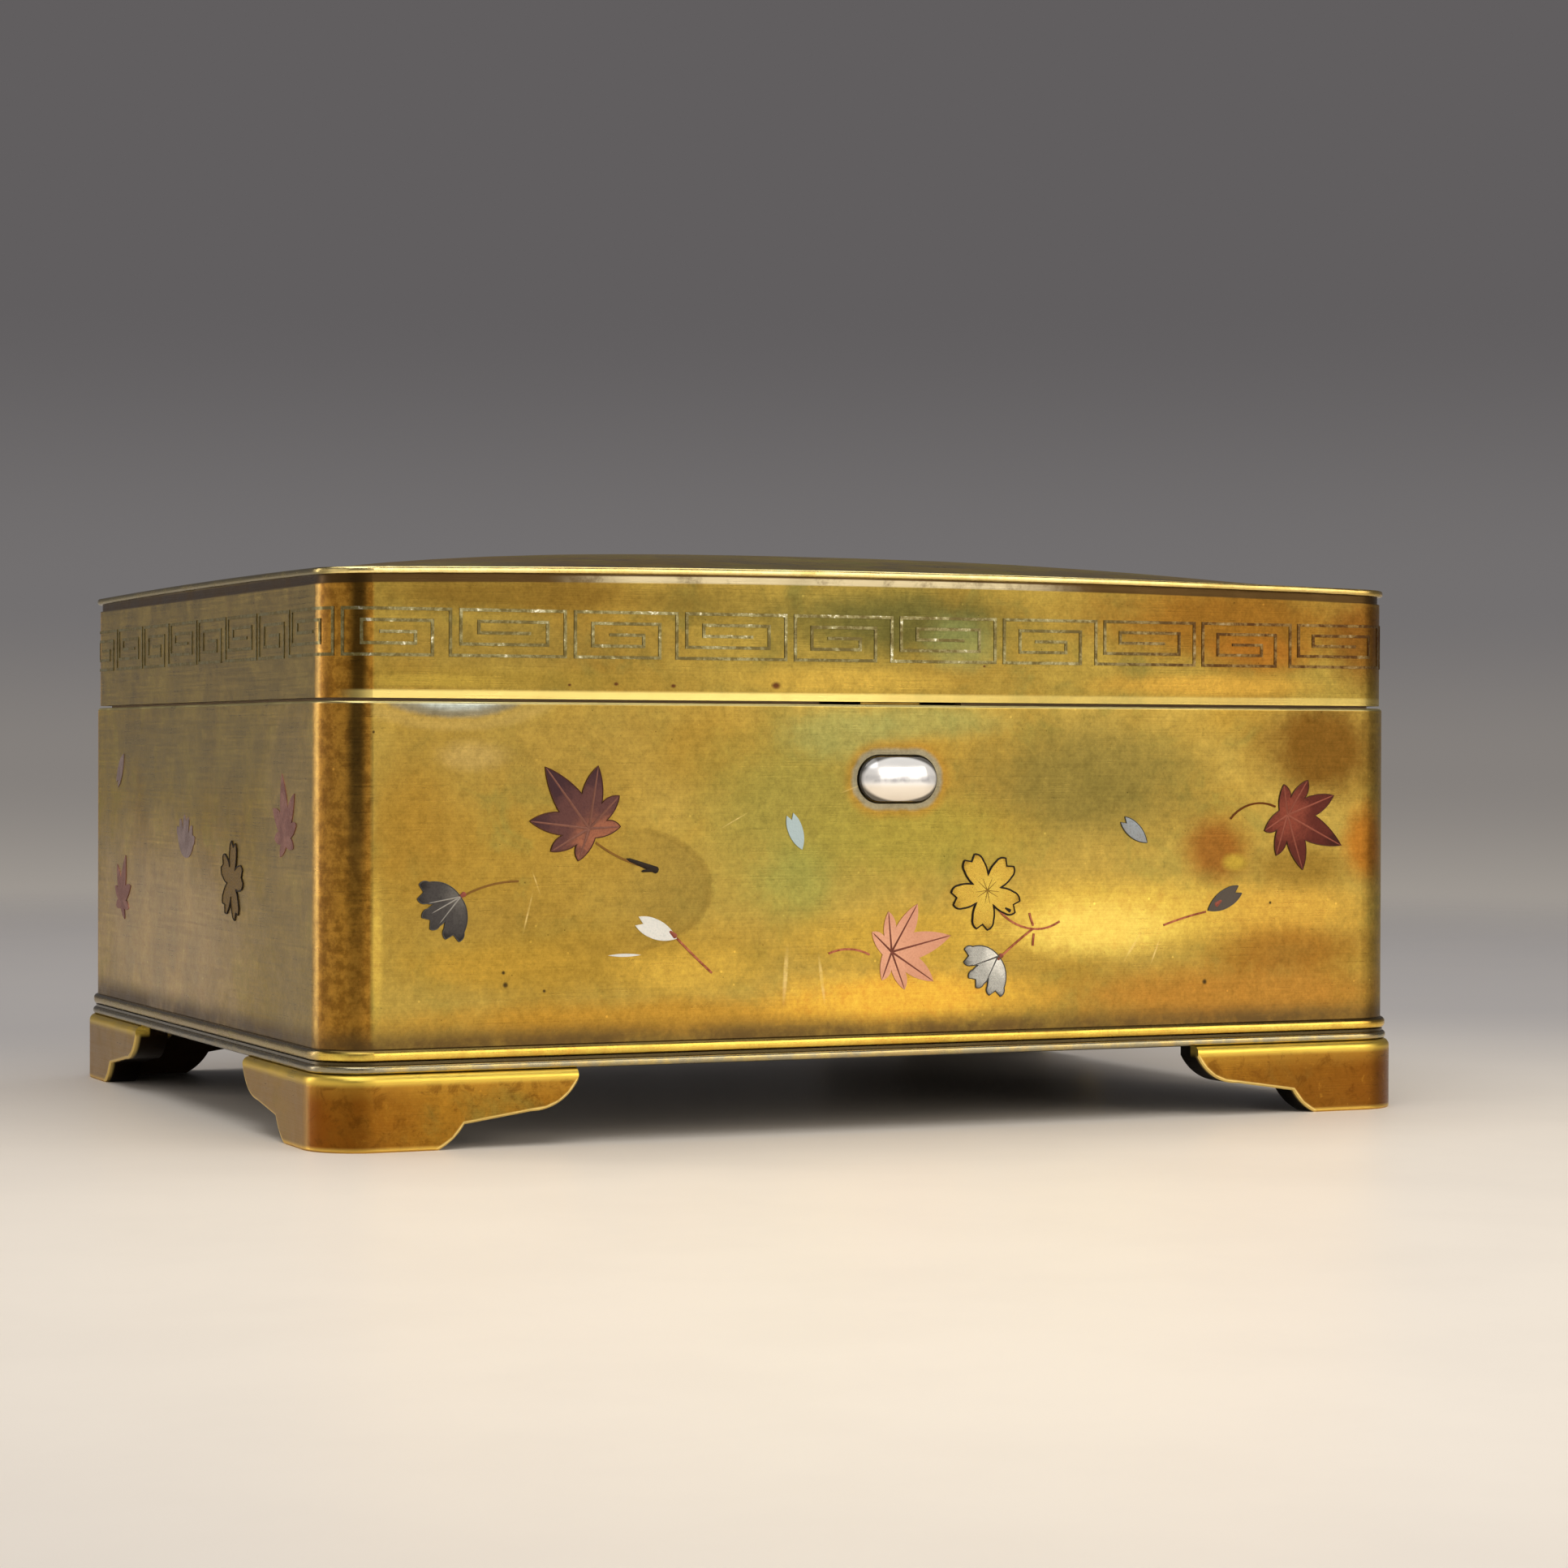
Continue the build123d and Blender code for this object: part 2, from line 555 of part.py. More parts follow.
def catch_leaf():
    """Flat spring with a wedge nose that reaches into the keeper."""
    leaf_z = (CATCH_BLOCK_Z, SEAM_Z - LEAF_DROP)
    leaf = span((-LEAF_WIDTH / 2, LEAF_WIDTH / 2), (LEAF_Y, LEAF_Y + LEAF_THICK), leaf_z)
    nose_side = Polyline(
        (LEAF_Y, NOSE_Z), (LEAF_Y - NOSE_REACH, NOSE_Z), (LEAF_Y - NOSE_REACH, NOSE_Z + NOSE_FLAT),
        (LEAF_Y, NOSE_Z + NOSE_HEIGHT), close=True,
    )
    nose = extrude(Plane.YZ * make_face(nose_side), NOSE_WIDTH / 2, both=True)
    leaf += nose
    for x, z in rivet_places():
        leaf -= rod_y(x, LEAF_Y, LEAF_Y + LEAF_THICK, z, RIVET_R + RUNNING)
    return leaf


def catch_rivets():
    rivets = []
    face = LEAF_Y + LEAF_THICK
    for x, z in rivet_places():
        head = rod_y(x, face, face + RIVET_HEAD, z, RIVET_HEAD_R)
        head = fillet(head.edges().filter_by(GeomType.CIRCLE).sort_by(Axis.Y)[-1], RIVET_HEAD / 2)
        rivets.append(head + rod_y(x, LEAF_Y - RIVET_BITE, face, z, RIVET_R))
    return Compound(rivets)


def lid_keeper():
    """Bracket soldered inside the lid's front wall, with a window for the nose."""
    half = KEEPER_WIDTH / 2
    wall_y = FRONT_Y + LID_INSET + LID_WALL
    tongue_y = (wall_y + KEEPER_GAP, wall_y + KEEPER_GAP + KEEPER_THICK)
    top = LID_BOTTOM + KEEPER_ROOT
    window_z = (NOSE_Z - FREE, NOSE_Z + NOSE_HEIGHT + FREE)
    bracket = span((-half, half), tongue_y, (window_z[0] - KEEPER_TAIL, top))
    bracket += span((-half, half), (wall_y, tongue_y[1]), (LID_BOTTOM + FREE, top))
    side = NOSE_WIDTH / 2 + FREE
    return bracket - span((-side, side), tongue_y, window_z)


# ---------------------------------------------------------------- inlays


def polar(radius, degrees):
    """Point at a clockwise angle from straight up."""
    return (radius * sin(radians(degrees)), radius * cos(radians(degrees)))


def maple(size):
    """Seven-lobed leaf; size is the length of the middle lobe, its stem is at the origin."""
    lobes = [(0, 1.0), (46, 0.82), (82, 0.6), (124, 0.44)]
    notches = [(25, 0.46), (66, 0.37), (104, 0.26), (180, 0.15)]
    half = [point for pair in zip(lobes, notches) for point in pair]
    edges = []
    for mirrored in (1, -1):
        points = [polar(radius * size, mirrored * angle) for angle, radius in half]
        for start, end in zip(points, points[1:]):
            edges.append(bow(start, end, -mirrored * -0.035 * size))
    return outline(*edges)


def petal_end(size, angle, shoulder=SHOULDER_ANGLE):
    """Rounded end of one cherry petal with a notch in its middle, and its two shoulders."""
    left, right = (polar(size * 0.8, angle + side * shoulder) for side in (-1, 1))
    tips = [polar(size, angle - PETAL_ANGLE), polar(size * 0.86, angle), polar(size, angle + PETAL_ANGLE)]
    cap = [bow(left, tips[0], 0.05 * size), Line(tips[0], tips[1]), Line(tips[1], tips[2]), bow(tips[2], right, 0.05 * size)]
    return left, cap, right


def blossom(size):
    """Open cherry blossom with five notched petals."""
    edges = []
    for i in range(5):
        angle = 72 * i
        left, cap, right = petal_end(size, angle)
        edges += [bow(polar(size * 0.4, angle - 36), left, 0.03 * size), *cap]
        edges.append(bow(right, polar(size * 0.4, angle + 36), 0.03 * size))
    return outline(*edges)


def half_blossom(size):
    """Three petals of a cherry blossom seen from the side, its calyx at the origin."""
    edges = []
    last = (0, 0)
    for angle in (-43, 0, 43):
        left, cap, right = petal_end(size, angle, FOLDED_ANGLE)
        edges += [bow(last, left, 0.12 * size if angle < 0 else 0.006 * size), *cap]
        last = polar(size * 0.62, angle + 21.5)
        if angle < 43:
            edges.append(bow(right, last, 0.006 * size))
    edges.append(bow(right, (0, 0), 0.12 * size))
    return outline(*edges)


def petal(size):
    """Single fallen petal or bud, pointed at the origin and notched at its end."""
    half, end = 0.21 * size, (0.1 * size, size)
    notch = (0, 0.84 * size)
    right = [bow(end, (half, 0.6 * size), 0.03 * size), bow((half, 0.6 * size), (0, 0), 0.06 * size)]
    left = [bow((0, 0), (-half, 0.6 * size), 0.06 * size), bow((-half, 0.6 * size), (-end[0], end[1]), 0.03 * size)]
    return outline(*left, Line((-end[0], end[1]), notch), Line(notch, end), *right)


def sliver(size):
    """Petal seen edge-on, pointed at both ends."""
    end = (0, size)
    return outline(bow((0, 0), end, 0.045 * size), bow(end, (0, 0), 0.045 * size))


def stem(*points):
    """Wire laid along an arc through three points."""
    return trace(ThreePointArc(*points), STEM_WIRE)


# (node, panel, shape, size, tilt clockwise from upright, across, up): across runs from
# -1 to 1 over the panel and up from 0 at the base to 1 at the seam
MOTIFS = [
    ("maple_plum", "front", maple, 11.3, -37, -0.557, 0.629),
    ("maple_salmon", "front", maple, 10.3, 77, -0.01, 0.247),
    ("maple_russet", "front", maple, 11.2, 116, 0.768, 0.657),
    ("blossom_gold", "front", blossom, 6.0, -29, 0.169, 0.429),
    ("blossom_silver", "front", half_blossom, 6.1, 230, 0.194, 0.225),
    ("blossom_grey", "front", half_blossom, 6.5, 234, -0.777, 0.435),
    ("petals_silver", "front", petal, 6.9, -67, -0.402, 0.301),
    ("petals_silver", "front", petal, 5.7, -21, -0.176, 0.561),
    ("petals_silver", "front", sliver, 5.2, 90, -0.523, 0.255),
    ("petals_grey", "front", petal, 5.7, -50, 0.483, 0.573),
    ("petals_grey", "front", petal, 6.7, 61, 0.606, 0.357),
    ("left_leaves", "left", maple, 9.5, -12, 0.718, 0.6),
    ("left_leaves", "left", maple, 8.4, 20, -0.671, 0.337),
    ("left_blossom", "left", blossom, 6.2, 10, 0.309, 0.451),
    ("left_petals", "left", half_blossom, 6.8, 8, -0.084, 0.51),
    ("left_petals", "left", petal, 7.0, -139, -0.648, 0.841),
    ("right_leaves", "right", maple, 9.5, 30, -0.55, 0.6),
    ("right_leaves", "right", maple, 8.5, -100, 0.5, 0.34),
    ("right_blossom", "right", blossom, 6.2, 14, 0.02, 0.4),
    ("right_petals", "right", half_blossom, 6.4, 200, 0.72, 0.78),
    ("right_petals", "right", petal, 6.4, 40, -0.2, 0.72),
    ("back_leaves", "back", maple, 11.0, 24, -0.5, 0.56),
    ("back_leaves", "back", maple, 9.5, -80, 0.62, 0.32),
    ("back_blossom", "back", blossom, 6.2, 20, 0.12, 0.36),
]

# stems on the front, each three points in millimetres from the panel's middle and its base
STEMS = [
    ((-49.0, 29.3), (-43.9, 26.5), (-39.4, 25.3)),
    ((-4.6, 12.0), (-8.4, 12.9), (-11.4, 12.3)),
    ((66.9, 34.1), (62.4, 34.5), (58.6, 32.2)),
    ((17.5, 18.3), (20.0, 16.4), (23.4, 15.4)),
    ((23.4, 15.4), (25.9, 15.6), (28.0, 16.5)),
    ((18.0, 11.4), (20.6, 13.5), (23.3, 15.4)),
    ((22.7, 17.9), (23.0, 16.9), (23.4, 15.9)),
    ((23.5, 14.7), (23.4, 13.8), (23.3, 12.8)),
    ((-69.4, 21.8), (-65.3, 23.3), (-61.0, 23.8)),
    ((-36.2, 15.1), (-33.6, 12.6), (-30.5, 9.8)),
    ((54.2, 17.6), (51.0, 16.9), (46.5, 15.6)),
]


def motif_sketches():
    """Every inlaid shape, by node and panel, laid flat in its panel's own plane."""
    sketches = {}
    rise = CASE_TOP - BASE_TOP
    for node, panel, shape, size, tilt, across, up in MOTIFS:
        place = Pos(across * HALF[panel], BASE_TOP + up * rise) * Rot(0, 0, -tilt)
        sketches.setdefault((node, panel), []).append(place * shape(size))
    return sketches


def motifs():
    sketches = motif_sketches()
    nodes = {}
    for (node, panel), shapes in sketches.items():
        solids = [extrude(PANELS[panel] * shape, INLAY) for shape in shapes]
        nodes[node] = Compound([solid for group in solids for solid in group.solids()])
    solids = []
    for points in STEMS:
        wire = stem(*[(x, BASE_TOP + z) for x, z in points])
        for (node, panel), shapes in sketches.items():
            if panel == "front":
                for shape in shapes:
                    wire -= shape
        solids.append(extrude(PANELS["front"] * wire, INLAY))
    joined = solids[0]
    for solid in solids[1:]:
        joined += solid
    nodes["stems_copper"] = Compound(list(joined.solids()))
    return nodes


# the fret's wire, as (distance along in units of one key, level): two keys, then it repeats
FRET_ROUTE = [
    (0.36, 2), (0.655, 2), (0.655, 1), (0.2, 1), (0.2, 3), (0.8, 3), (0.8, 0), (0.045, 0), (0.045, 4),
    (0.955, 4), (0.955, 0), (1.955, 0), (1.955, 4), (1.045, 4), (1.045, 1), (1.8, 1), (1.8, 3),
    (1.2, 3), (1.2, 2), (1.64, 2),
]


def fret_bars(length, count):
    """Straight pieces of the fret along one side: (start, end, low, high)."""
    key = length / (2 * count)
    half = WIRE / 2
    bars = []
    for pair in range(count):
        start = -length / 2 + 2 * key * pair
        route = [(start + s * key, FRET_Z + level * FRET_HEIGHT / 4) for s, level in FRET_ROUTE]
        for (s0, z0), (s1, z1) in zip(route, route[1:]):
            bars.append((min(s0, s1) - half, max(s0, s1) + half, min(z0, z1) - half, max(z0, z1) + half))
    return bars


def corner_bar(panel, start, end, low, high):
    """Piece of wire bent round a corner; start and end are lengths past the flat's end."""
    flat = HALF[panel] - CORNER
    radius = CORNER - LID_INSET
    sign = 1 if start >= 0 else -1
    angles = [start / radius, (start + end) / 2 / radius, end / radius]

    def at(reach, angle):
        return (sign * flat + reach * sin(angle), CORNER - reach * cos(angle))

    outer = ThreePointArc(*[at(radius + INLAY, angle) for angle in angles])
    inner = ThreePointArc(*[at(radius, angle) for angle in angles])
    face = outline(outer, Line(outer @ 1, inner @ 1), inner, Line(inner @ 0, outer @ 0))
    level = Plane(PANELS[panel].origin + Vector(0, 0, low), x_dir=PANELS[panel].x_dir, z_dir=(0, 0, 1))
    return extrude(level * face, high - low)


def fret_side(panel):
    """Fret on one wall of the lid, with its share of the two corners."""
    flat = HALF[panel] - CORNER
    length = 2 * flat + pi * (CORNER - LID_INSET) / 2
    drawing = None
    pieces = []
    for start, end, low, high in fret_bars(length, FRET_KEYS[panel]):
        left, right = max(start, -flat), min(end, flat)
        if right > left:
            bar = Pos((left + right) / 2, (low + high) / 2) * Rectangle(right - left, high - low)
            drawing = bar if drawing is None else drawing + bar
        if end > flat:
            pieces.append(corner_bar(panel, max(start - flat, 0), end - flat, low, high))
        if start < -flat:
            pieces.append(corner_bar(panel, start + flat, min(end + flat, -1e-9), low, high))
    solids = list(extrude(PANELS[panel].offset(-LID_INSET) * drawing, INLAY).solids())
    corners = {}
    for piece in pieces:
        side = piece.center().X > 0, piece.center().Y > MID_Y
        corners[side] = corners[side] + piece if side in corners else piece
    for corner in corners.values():
        solids += list(corner.solids())
    return Compound(solids)


# ---------------------------------------------------------------- fittings inside


ROOM_X = WIDTH / 2 - LINING - FREE
ROOM_FRONT = FRONT_Y + LINING + FREE
ROOM_BACK = BACK_Y - LINING - FREE
DROPPER_Y = ROOM_BACK - DROPPER_FROM_BACK - DROPPER[1] / 2
STONE_FRONT = ROOM_FRONT + STONE_FROM_EDGE
STONE_BACK = DROPPER_Y - DROPPER[1] / 2 - DROPPER_FROM_STONE
STONE = (STONE_WIDTH, STONE_BACK - STONE_FRONT, STONE_HEIGHT)
STONE_Y = (STONE_FRONT + STONE_BACK) / 2
WELL_Z = FLOOR_Z + BOARD_THICK - BOARD_WELL
TRAY_NEAR = BOARD_WIDTH / 2 + FREE
TRAY_MIDDLE = (TRAY_NEAR + ROOM_X) / 2
CONTENT_Y = ROOM_FRONT + TRAY_WALL + BRUSH_FROM_EDGE
BRUSH_LENGTH = ROOM_BACK - TRAY_WALL - BRUSH_SPARE - BRUSH_TIP - CONTENT_Y


def centre_board():
    board = span((-BOARD_WIDTH / 2, BOARD_WIDTH / 2), (ROOM_FRONT, ROOM_BACK), (FLOOR_Z, FLOOR_Z + BOARD_THICK))
    for (length, width, height), radius, y in ((STONE, STONE_ROUND, STONE_Y), (DROPPER, DROPPER_ROUND, DROPPER_Y)):
        size = (length + 2 * SEAT, width + 2 * SEAT, height)
        board -= Pos(0, y, WELL_Z) * rounded_box(size, radius + SEAT)
    return board


def inkstone():
    """Slate with a flat grinding field that slopes down to a pond at the far end."""
    length, width, height = STONE
    stone = Pos(0, STONE_Y, WELL_Z) * rounded_box(STONE, STONE_ROUND)
    top = WELL_Z + height
    near, far = STONE_Y - width / 2 + STONE_RIM, STONE_Y + width / 2 - STONE_RIM
    slope_end = far - POND_LENGTH
    side = Polyline(
        (near, top), (near, top - STONE_FIELD), (slope_end - POND_SLOPE, top - STONE_FIELD),
        (slope_end, top - STONE_POND), (far, top - STONE_POND), (far, top), close=True,
    )
    hollow = extrude(Plane.YZ * make_face(side), length / 2 - STONE_RIM, both=True)
    hollow = fillet(hollow.edges().filter_by(Axis.Z), POND_ROUND)
    stone -= hollow
    return chamfer(stone.faces().sort_by(Axis.Z)[-1].edges(), STONE_BEVEL)


def water_dropper():
    """Small closed box for water with two air holes in its top."""
    body = Pos(0, DROPPER_Y, WELL_Z) * rounded_box(DROPPER, DROPPER_ROUND)
    body = fillet(body.faces().sort_by(Axis.Z)[-1].edges(), DROPPER_TOP_ROUND)
    top = WELL_Z + DROPPER[2]
    for x in (-DROPPER[0] / 3, 0):
        body -= rod_z(x, DROPPER_Y, top - DROPPER_HOLE_DEPTH, top, DROPPER_HOLE_R)
    return body


def tray(sign):
    x = sorted((sign * TRAY_NEAR, sign * ROOM_X))
    outer = span(x, (ROOM_FRONT, ROOM_BACK), (FLOOR_Z, FLOOR_Z + TRAY_HEIGHT))
    inner = span(
        (x[0] + TRAY_WALL, x[1] - TRAY_WALL), (ROOM_FRONT + TRAY_WALL, ROOM_BACK - TRAY_WALL),
        (FLOOR_Z + TRAY_FLOOR, FLOOR_Z + TRAY_HEIGHT),
    )
    return outer - inner


def brush_places():
    """Middle line of each brush in the left tray: x and z."""
    x = -TRAY_MIDDLE
    z = FLOOR_Z + TRAY_FLOOR + BRUSH_R + SEAT
    return [(x - BRUSH_SPACING / 2, z), (x + BRUSH_SPACING / 2, z)]


def brush_shafts():
    return Compound([rod_y(x, CONTENT_Y, CONTENT_Y + BRUSH_LENGTH, z, BRUSH_R) for x, z in brush_places()])


def brush_tips():
    """Bundles of hair, full behind the middle and pointed at the end."""
    root = (BRUSH_R * 0.85, 0)
    belly = (BRUSH_R, BRUSH_TIP / 3)
    point = (0, BRUSH_TIP)
    tips = []
    for x, z in brush_places():
        side = outline(Line((0, 0), root), Spline(root, belly, point), Line(point, (0, 0)))
        tips.append(Pos(x, CONTENT_Y + BRUSH_LENGTH, z) * revolve(side, Axis.Y))
    return Compound([tip.solid() for tip in tips])


def ink_stick():
    stick = Pos(TRAY_MIDDLE, CONTENT_Y + INK_STICK[1] / 2, FLOOR_Z + TRAY_FLOOR) * rounded_box(INK_STICK, INK_STICK_ROUND)
    return chamfer(stick.faces().sort_by(Axis.Z)[-1].edges(), INK_STICK_BEVEL)


# ---------------------------------------------------------------- the whole box


def build():
    parts = {
        "base_plate": base_plate(),
        "case_walls": case_walls(),
        "foot_screws": foot_screws(),
        "lid_shell": lid_shell(),
        "lid_rim": lid_rim(),
        "lid_keeper": lid_keeper(),
        "hinge_case_half": hinge_half(0, -1),
        "hinge_lid_half": hinge_half(1, 1),
        "hinge_pin": hinge_pin(),
        "push_button": push_button(),
        "button_stem": button_stem(),
        "stem_clip": stem_clip(),
        "button_guide": button_guide(),
        "catch_block": catch_block(),
        "catch_leaf": catch_leaf(),
        "catch_rivets": catch_rivets(),
        "centre_board": centre_board(),
        "inkstone": inkstone(),
        "water_dropper": water_dropper(),
        "tray_left": tray(-1),
        "tray_right": tray(1),
        "brush_shafts": brush_shafts(),
        "brush_tips": brush_tips(),
        "ink_stick": ink_stick(),
    }
    parts.update({"fret_" + panel: fret_side(panel) for panel in FRET_KEYS})
    for group in (feet(), case_lining(), lid_lining(), motifs()):
        parts.update(group)
    return parts


os.makedirs("parts", exist_ok=True)
for name, shape in build().items():
    export_step(shape, f"parts/{name}.step")
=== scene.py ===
# %% [markdown]
# # An aged brass ink box
# This lesson dresses a small hinged ink box: brass walls that have aged in bands and clouds, a fret of
# silver wire round the lid, and maple leaves and cherry blossoms let into the walls in coloured metals.
# The solid parts come ready made. Blender adds the finishes, the engraved lines and the light.

# %% Load the solid parts
from math import cos, pi, radians, sin

import bpy
from mathutils import Matrix, Vector


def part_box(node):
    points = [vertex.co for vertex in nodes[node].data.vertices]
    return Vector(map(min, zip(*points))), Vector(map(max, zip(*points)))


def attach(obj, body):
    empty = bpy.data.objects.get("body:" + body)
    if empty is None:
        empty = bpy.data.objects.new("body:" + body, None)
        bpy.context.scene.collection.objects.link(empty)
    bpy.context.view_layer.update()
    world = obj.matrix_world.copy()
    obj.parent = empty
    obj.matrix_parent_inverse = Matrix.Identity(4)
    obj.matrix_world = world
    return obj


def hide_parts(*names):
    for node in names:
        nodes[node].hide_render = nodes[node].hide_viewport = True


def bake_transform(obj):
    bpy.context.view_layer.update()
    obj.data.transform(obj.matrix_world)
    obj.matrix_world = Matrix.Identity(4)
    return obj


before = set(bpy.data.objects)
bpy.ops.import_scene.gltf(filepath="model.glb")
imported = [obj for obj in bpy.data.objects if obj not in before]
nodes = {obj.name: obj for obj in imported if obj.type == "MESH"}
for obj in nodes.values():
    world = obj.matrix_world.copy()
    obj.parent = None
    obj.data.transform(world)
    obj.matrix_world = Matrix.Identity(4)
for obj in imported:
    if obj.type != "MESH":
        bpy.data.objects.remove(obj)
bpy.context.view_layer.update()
bpy.ops.object.select_all(action="DESELECT")
print("parts loaded:", len(nodes))

# %% [markdown]
# Everything below is worked out in millimetres, because that is how a box maker measures, and turned
# into metres at the last moment.

# %% Measures of the box
MM = 0.001


def box(node):
    """The low and the high corner of a part, in millimetres."""
    return [Vector(corner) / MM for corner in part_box(node)]


CASE_LOW, CASE_HIGH = box("case_walls")
WALL_FRONT, CASE_BOTTOM, CASE_TOP = CASE_LOW.y, CASE_LOW.z, CASE_HIGH.z
LID_BOTTOM, LID_TOP = [corner.z for corner in box("lid_shell")]
INLAY_FACE = box("maple_plum")[0].y
print("front wall at y", round(WALL_FRONT, 2), "case from", round(CASE_BOTTOM, 2), "to", round(CASE_TOP, 2))

# %% [markdown]
# The camera is a long lens a little above the table, turned about a quarter of the way round to the
# left, so the front wall fills the view and the left wall is a narrow strip.

# %% Camera
IMAGE_PIXELS = 1932
FOCAL_PIXELS = 4574.2
AXIS_ABOVE_CENTRE = 2.0
CAMERA_PLACE = Vector((-246.44, -577.17, 57.90)) * MM
YAW, PITCH, ROLL = radians(24.18), radians(0.533), radians(0.162)

forward = Vector((sin(YAW) * cos(PITCH), cos(YAW) * cos(PITCH), -sin(PITCH)))
level_right = Vector((cos(YAW), -sin(YAW), 0.0))
level_up = level_right.cross(forward)
right = cos(ROLL) * level_right + sin(ROLL) * level_up
up = cos(ROLL) * level_up - sin(ROLL) * level_right

bpy.ops.object.camera_add(location=CAMERA_PLACE)
camera = bpy.context.object
camera.name = "camera"
camera.matrix_world = Matrix.Translation(CAMERA_PLACE) @ Matrix((right, up, -forward)).transposed().to_4x4()
camera.data.sensor_width = 36.0
camera.data.lens = camera.data.sensor_width * FOCAL_PIXELS / IMAGE_PIXELS
camera.data.shift_y = -AXIS_ABOVE_CENTRE / IMAGE_PIXELS
camera.data.clip_start, camera.data.clip_end = 0.01, 20.0
bpy.context.scene.camera = camera
bpy.context.scene.view_settings.view_transform = "Standard"
print("lens", round(camera.data.lens, 2), "mm")

# %% [markdown]
# A recipe for a finish is a tree of nodes. `Wiring` adds nodes one after another and links them, so a
# recipe reads from top to bottom like a list of steps at the bench.

# %% Wiring for node trees
COLUMN = 220


def tone(code):
    """The written colour as the linear values that a socket wants."""
    parts = [int(code[i:i + 2], 16) / 255 for i in (0, 2, 4)]
    return tuple(c / 12.92 if c <= 0.04045 else ((c + 0.055) / 1.055) ** 2.4 for c in parts) + (1.0,)


class Wiring:
    """Adds nodes to one tree and links them."""

    def __init__(self, tree):
        self.tree = tree

    def add(self, kind, inputs=(), **settings):
        made = self.tree.nodes.new("ShaderNode" + kind)
        made.location = (COLUMN * len(self.tree.nodes), 0)
        for name, value in settings.items():
            setattr(made, name, value)
        for socket, value in dict(inputs).items():
            self.feed(made.inputs[socket], value)
        return made

    def feed(self, socket, value):
        if isinstance(value, bpy.types.NodeSocket):
            self.tree.links.new(value, socket)
        else:
            socket.default_value = value

    def math(self, operation, *values):
        return self.add("Math", enumerate(values), operation=operation).outputs[0]

    def times(self, first, second):
        return self.math("MULTIPLY", first, second)

    def plus(self, first, second):
        return self.math("ADD", first, second)

    def minus(self, first, second):
        return self.math("SUBTRACT", first, second)

    def axes(self, place):
        """The x, y and z of a place, each as a number."""
        return self.add("SeparateXYZ", {0: place}).outputs

    def vector(self, operation, *values):
        made = self.add("VectorMath", enumerate(values), operation=operation)
        return made.outputs["Value" if operation in ("LENGTH", "DISTANCE", "DOT_PRODUCT") else 0]

    def off(self, place, point):
        """A place as it is measured from another point."""
        return self.vector("SUBTRACT", place, point)

    def spread(self, place, middle):
        """How far a place lies from a middle along each axis, on whichever side."""
        return self.vector("ABSOLUTE", self.off(place, middle))

    def beyond(self, place, middle, half):
        """Distance from the box with this middle and these half sizes; 0 inside it."""
        past = self.off(self.spread(place, middle), half)
        return self.vector("LENGTH", self.vector("MAXIMUM", past, (0, 0, 0)))

    def oval(self, place, middle, reach):
        """0 in the middle of an oval and 1 on its edge."""
        return self.vector("LENGTH", self.vector("DIVIDE", self.off(place, middle), reach))

    def mix(self, factor, first, second, blend="MIX"):
        return self.add("Mix", {0: factor, 6: first, 7: second}, data_type="RGBA", blend_type=blend).outputs[2]

    def paint(self, colour, *layers):
        """Lays tones over a colour one after another, each where its mask says."""
        for mask, code in layers:
            colour = self.mix(mask, colour, tone(code))
        return colour

    def fade(self, value, low, high, start=0.0, end=1.0):
        """Goes smoothly from start, where value is low, to end, where it is high."""
        places = {0: value, 1: low, 2: high, 3: start, 4: end}
        return self.add("MapRange", places, interpolation_type="SMOOTHSTEP").outputs[0]

    def band(self, value, middle, half, strength=1.0):
        """Gives strength where value is near middle, and 0 beyond half on either side."""
        off = self.math("ABSOLUTE", self.minus(value, middle))
        return self.fade(off, half, half * 0.2, 0.0, strength)

    def noise(self, place, scale, detail=3.0, roughness=0.55, distortion=0.0):
        sockets = {"Vector": place, "Scale": scale, "Detail": detail}
        sockets |= {"Roughness": roughness, "Distortion": distortion}
        return self.add("TexNoise", sockets).outputs[0]

    def wobble(self, value, cloud, amount):
        """Value moved up and down by a noise."""
        return self.plus(value, self.times(self.minus(cloud, 0.5), amount))

    def spots(self, place, scale, size):
        """1 inside small round spots, 0 elsewhere."""
        cells = self.add("TexVoronoi", {"Vector": place, "Scale": scale}).outputs["Distance"]
        return self.fade(cells, size, size * 0.5)

    def stretch(self, place, scale, turn=(0.0, 0.0, 0.0)):
        return self.add("Mapping", {"Vector": place, "Scale": scale, "Rotation": turn}).outputs[0]

    def patch(self, place, centre, reach, ragged=None):
        """1 at the centre of an oval patch and 0 outside it; ragged is a noise that wobbles its edge."""
        away = self.oval(place, centre, reach)
        if ragged is not None:
            away = self.wobble(away, ragged, 0.9)
        return self.fade(away, 1.0, 0.25)


KINDS = {"vector": "NodeSocketVector", "number": "NodeSocketFloat", "colour": "NodeSocketColor"}
SURFACE = {"Colour": "colour", "Roughness": "number", "Relief": "number"}


def new_group(name, takes, gives):
    """An empty node group: its wiring, then the sockets that bring values in and those that take them out."""
    tree = bpy.data.node_groups.new(name, "ShaderNodeTree")
    for way, sockets in (("INPUT", takes), ("OUTPUT", gives)):
        for socket, kind in sockets.items():
            tree.interface.new_socket(name=socket, in_out=way, socket_type=KINDS[kind])
    entry = tree.nodes.new("NodeGroupInput")
    leave = tree.nodes.new("NodeGroupOutput")
    return Wiring(tree), entry.outputs, leave.inputs


def use_group(wiring, name, inputs):
    made = wiring.add("Group", node_tree=bpy.data.node_groups[name])
    for socket, value in inputs.items():
        wiring.feed(made.inputs[socket], value)
    return made.outputs


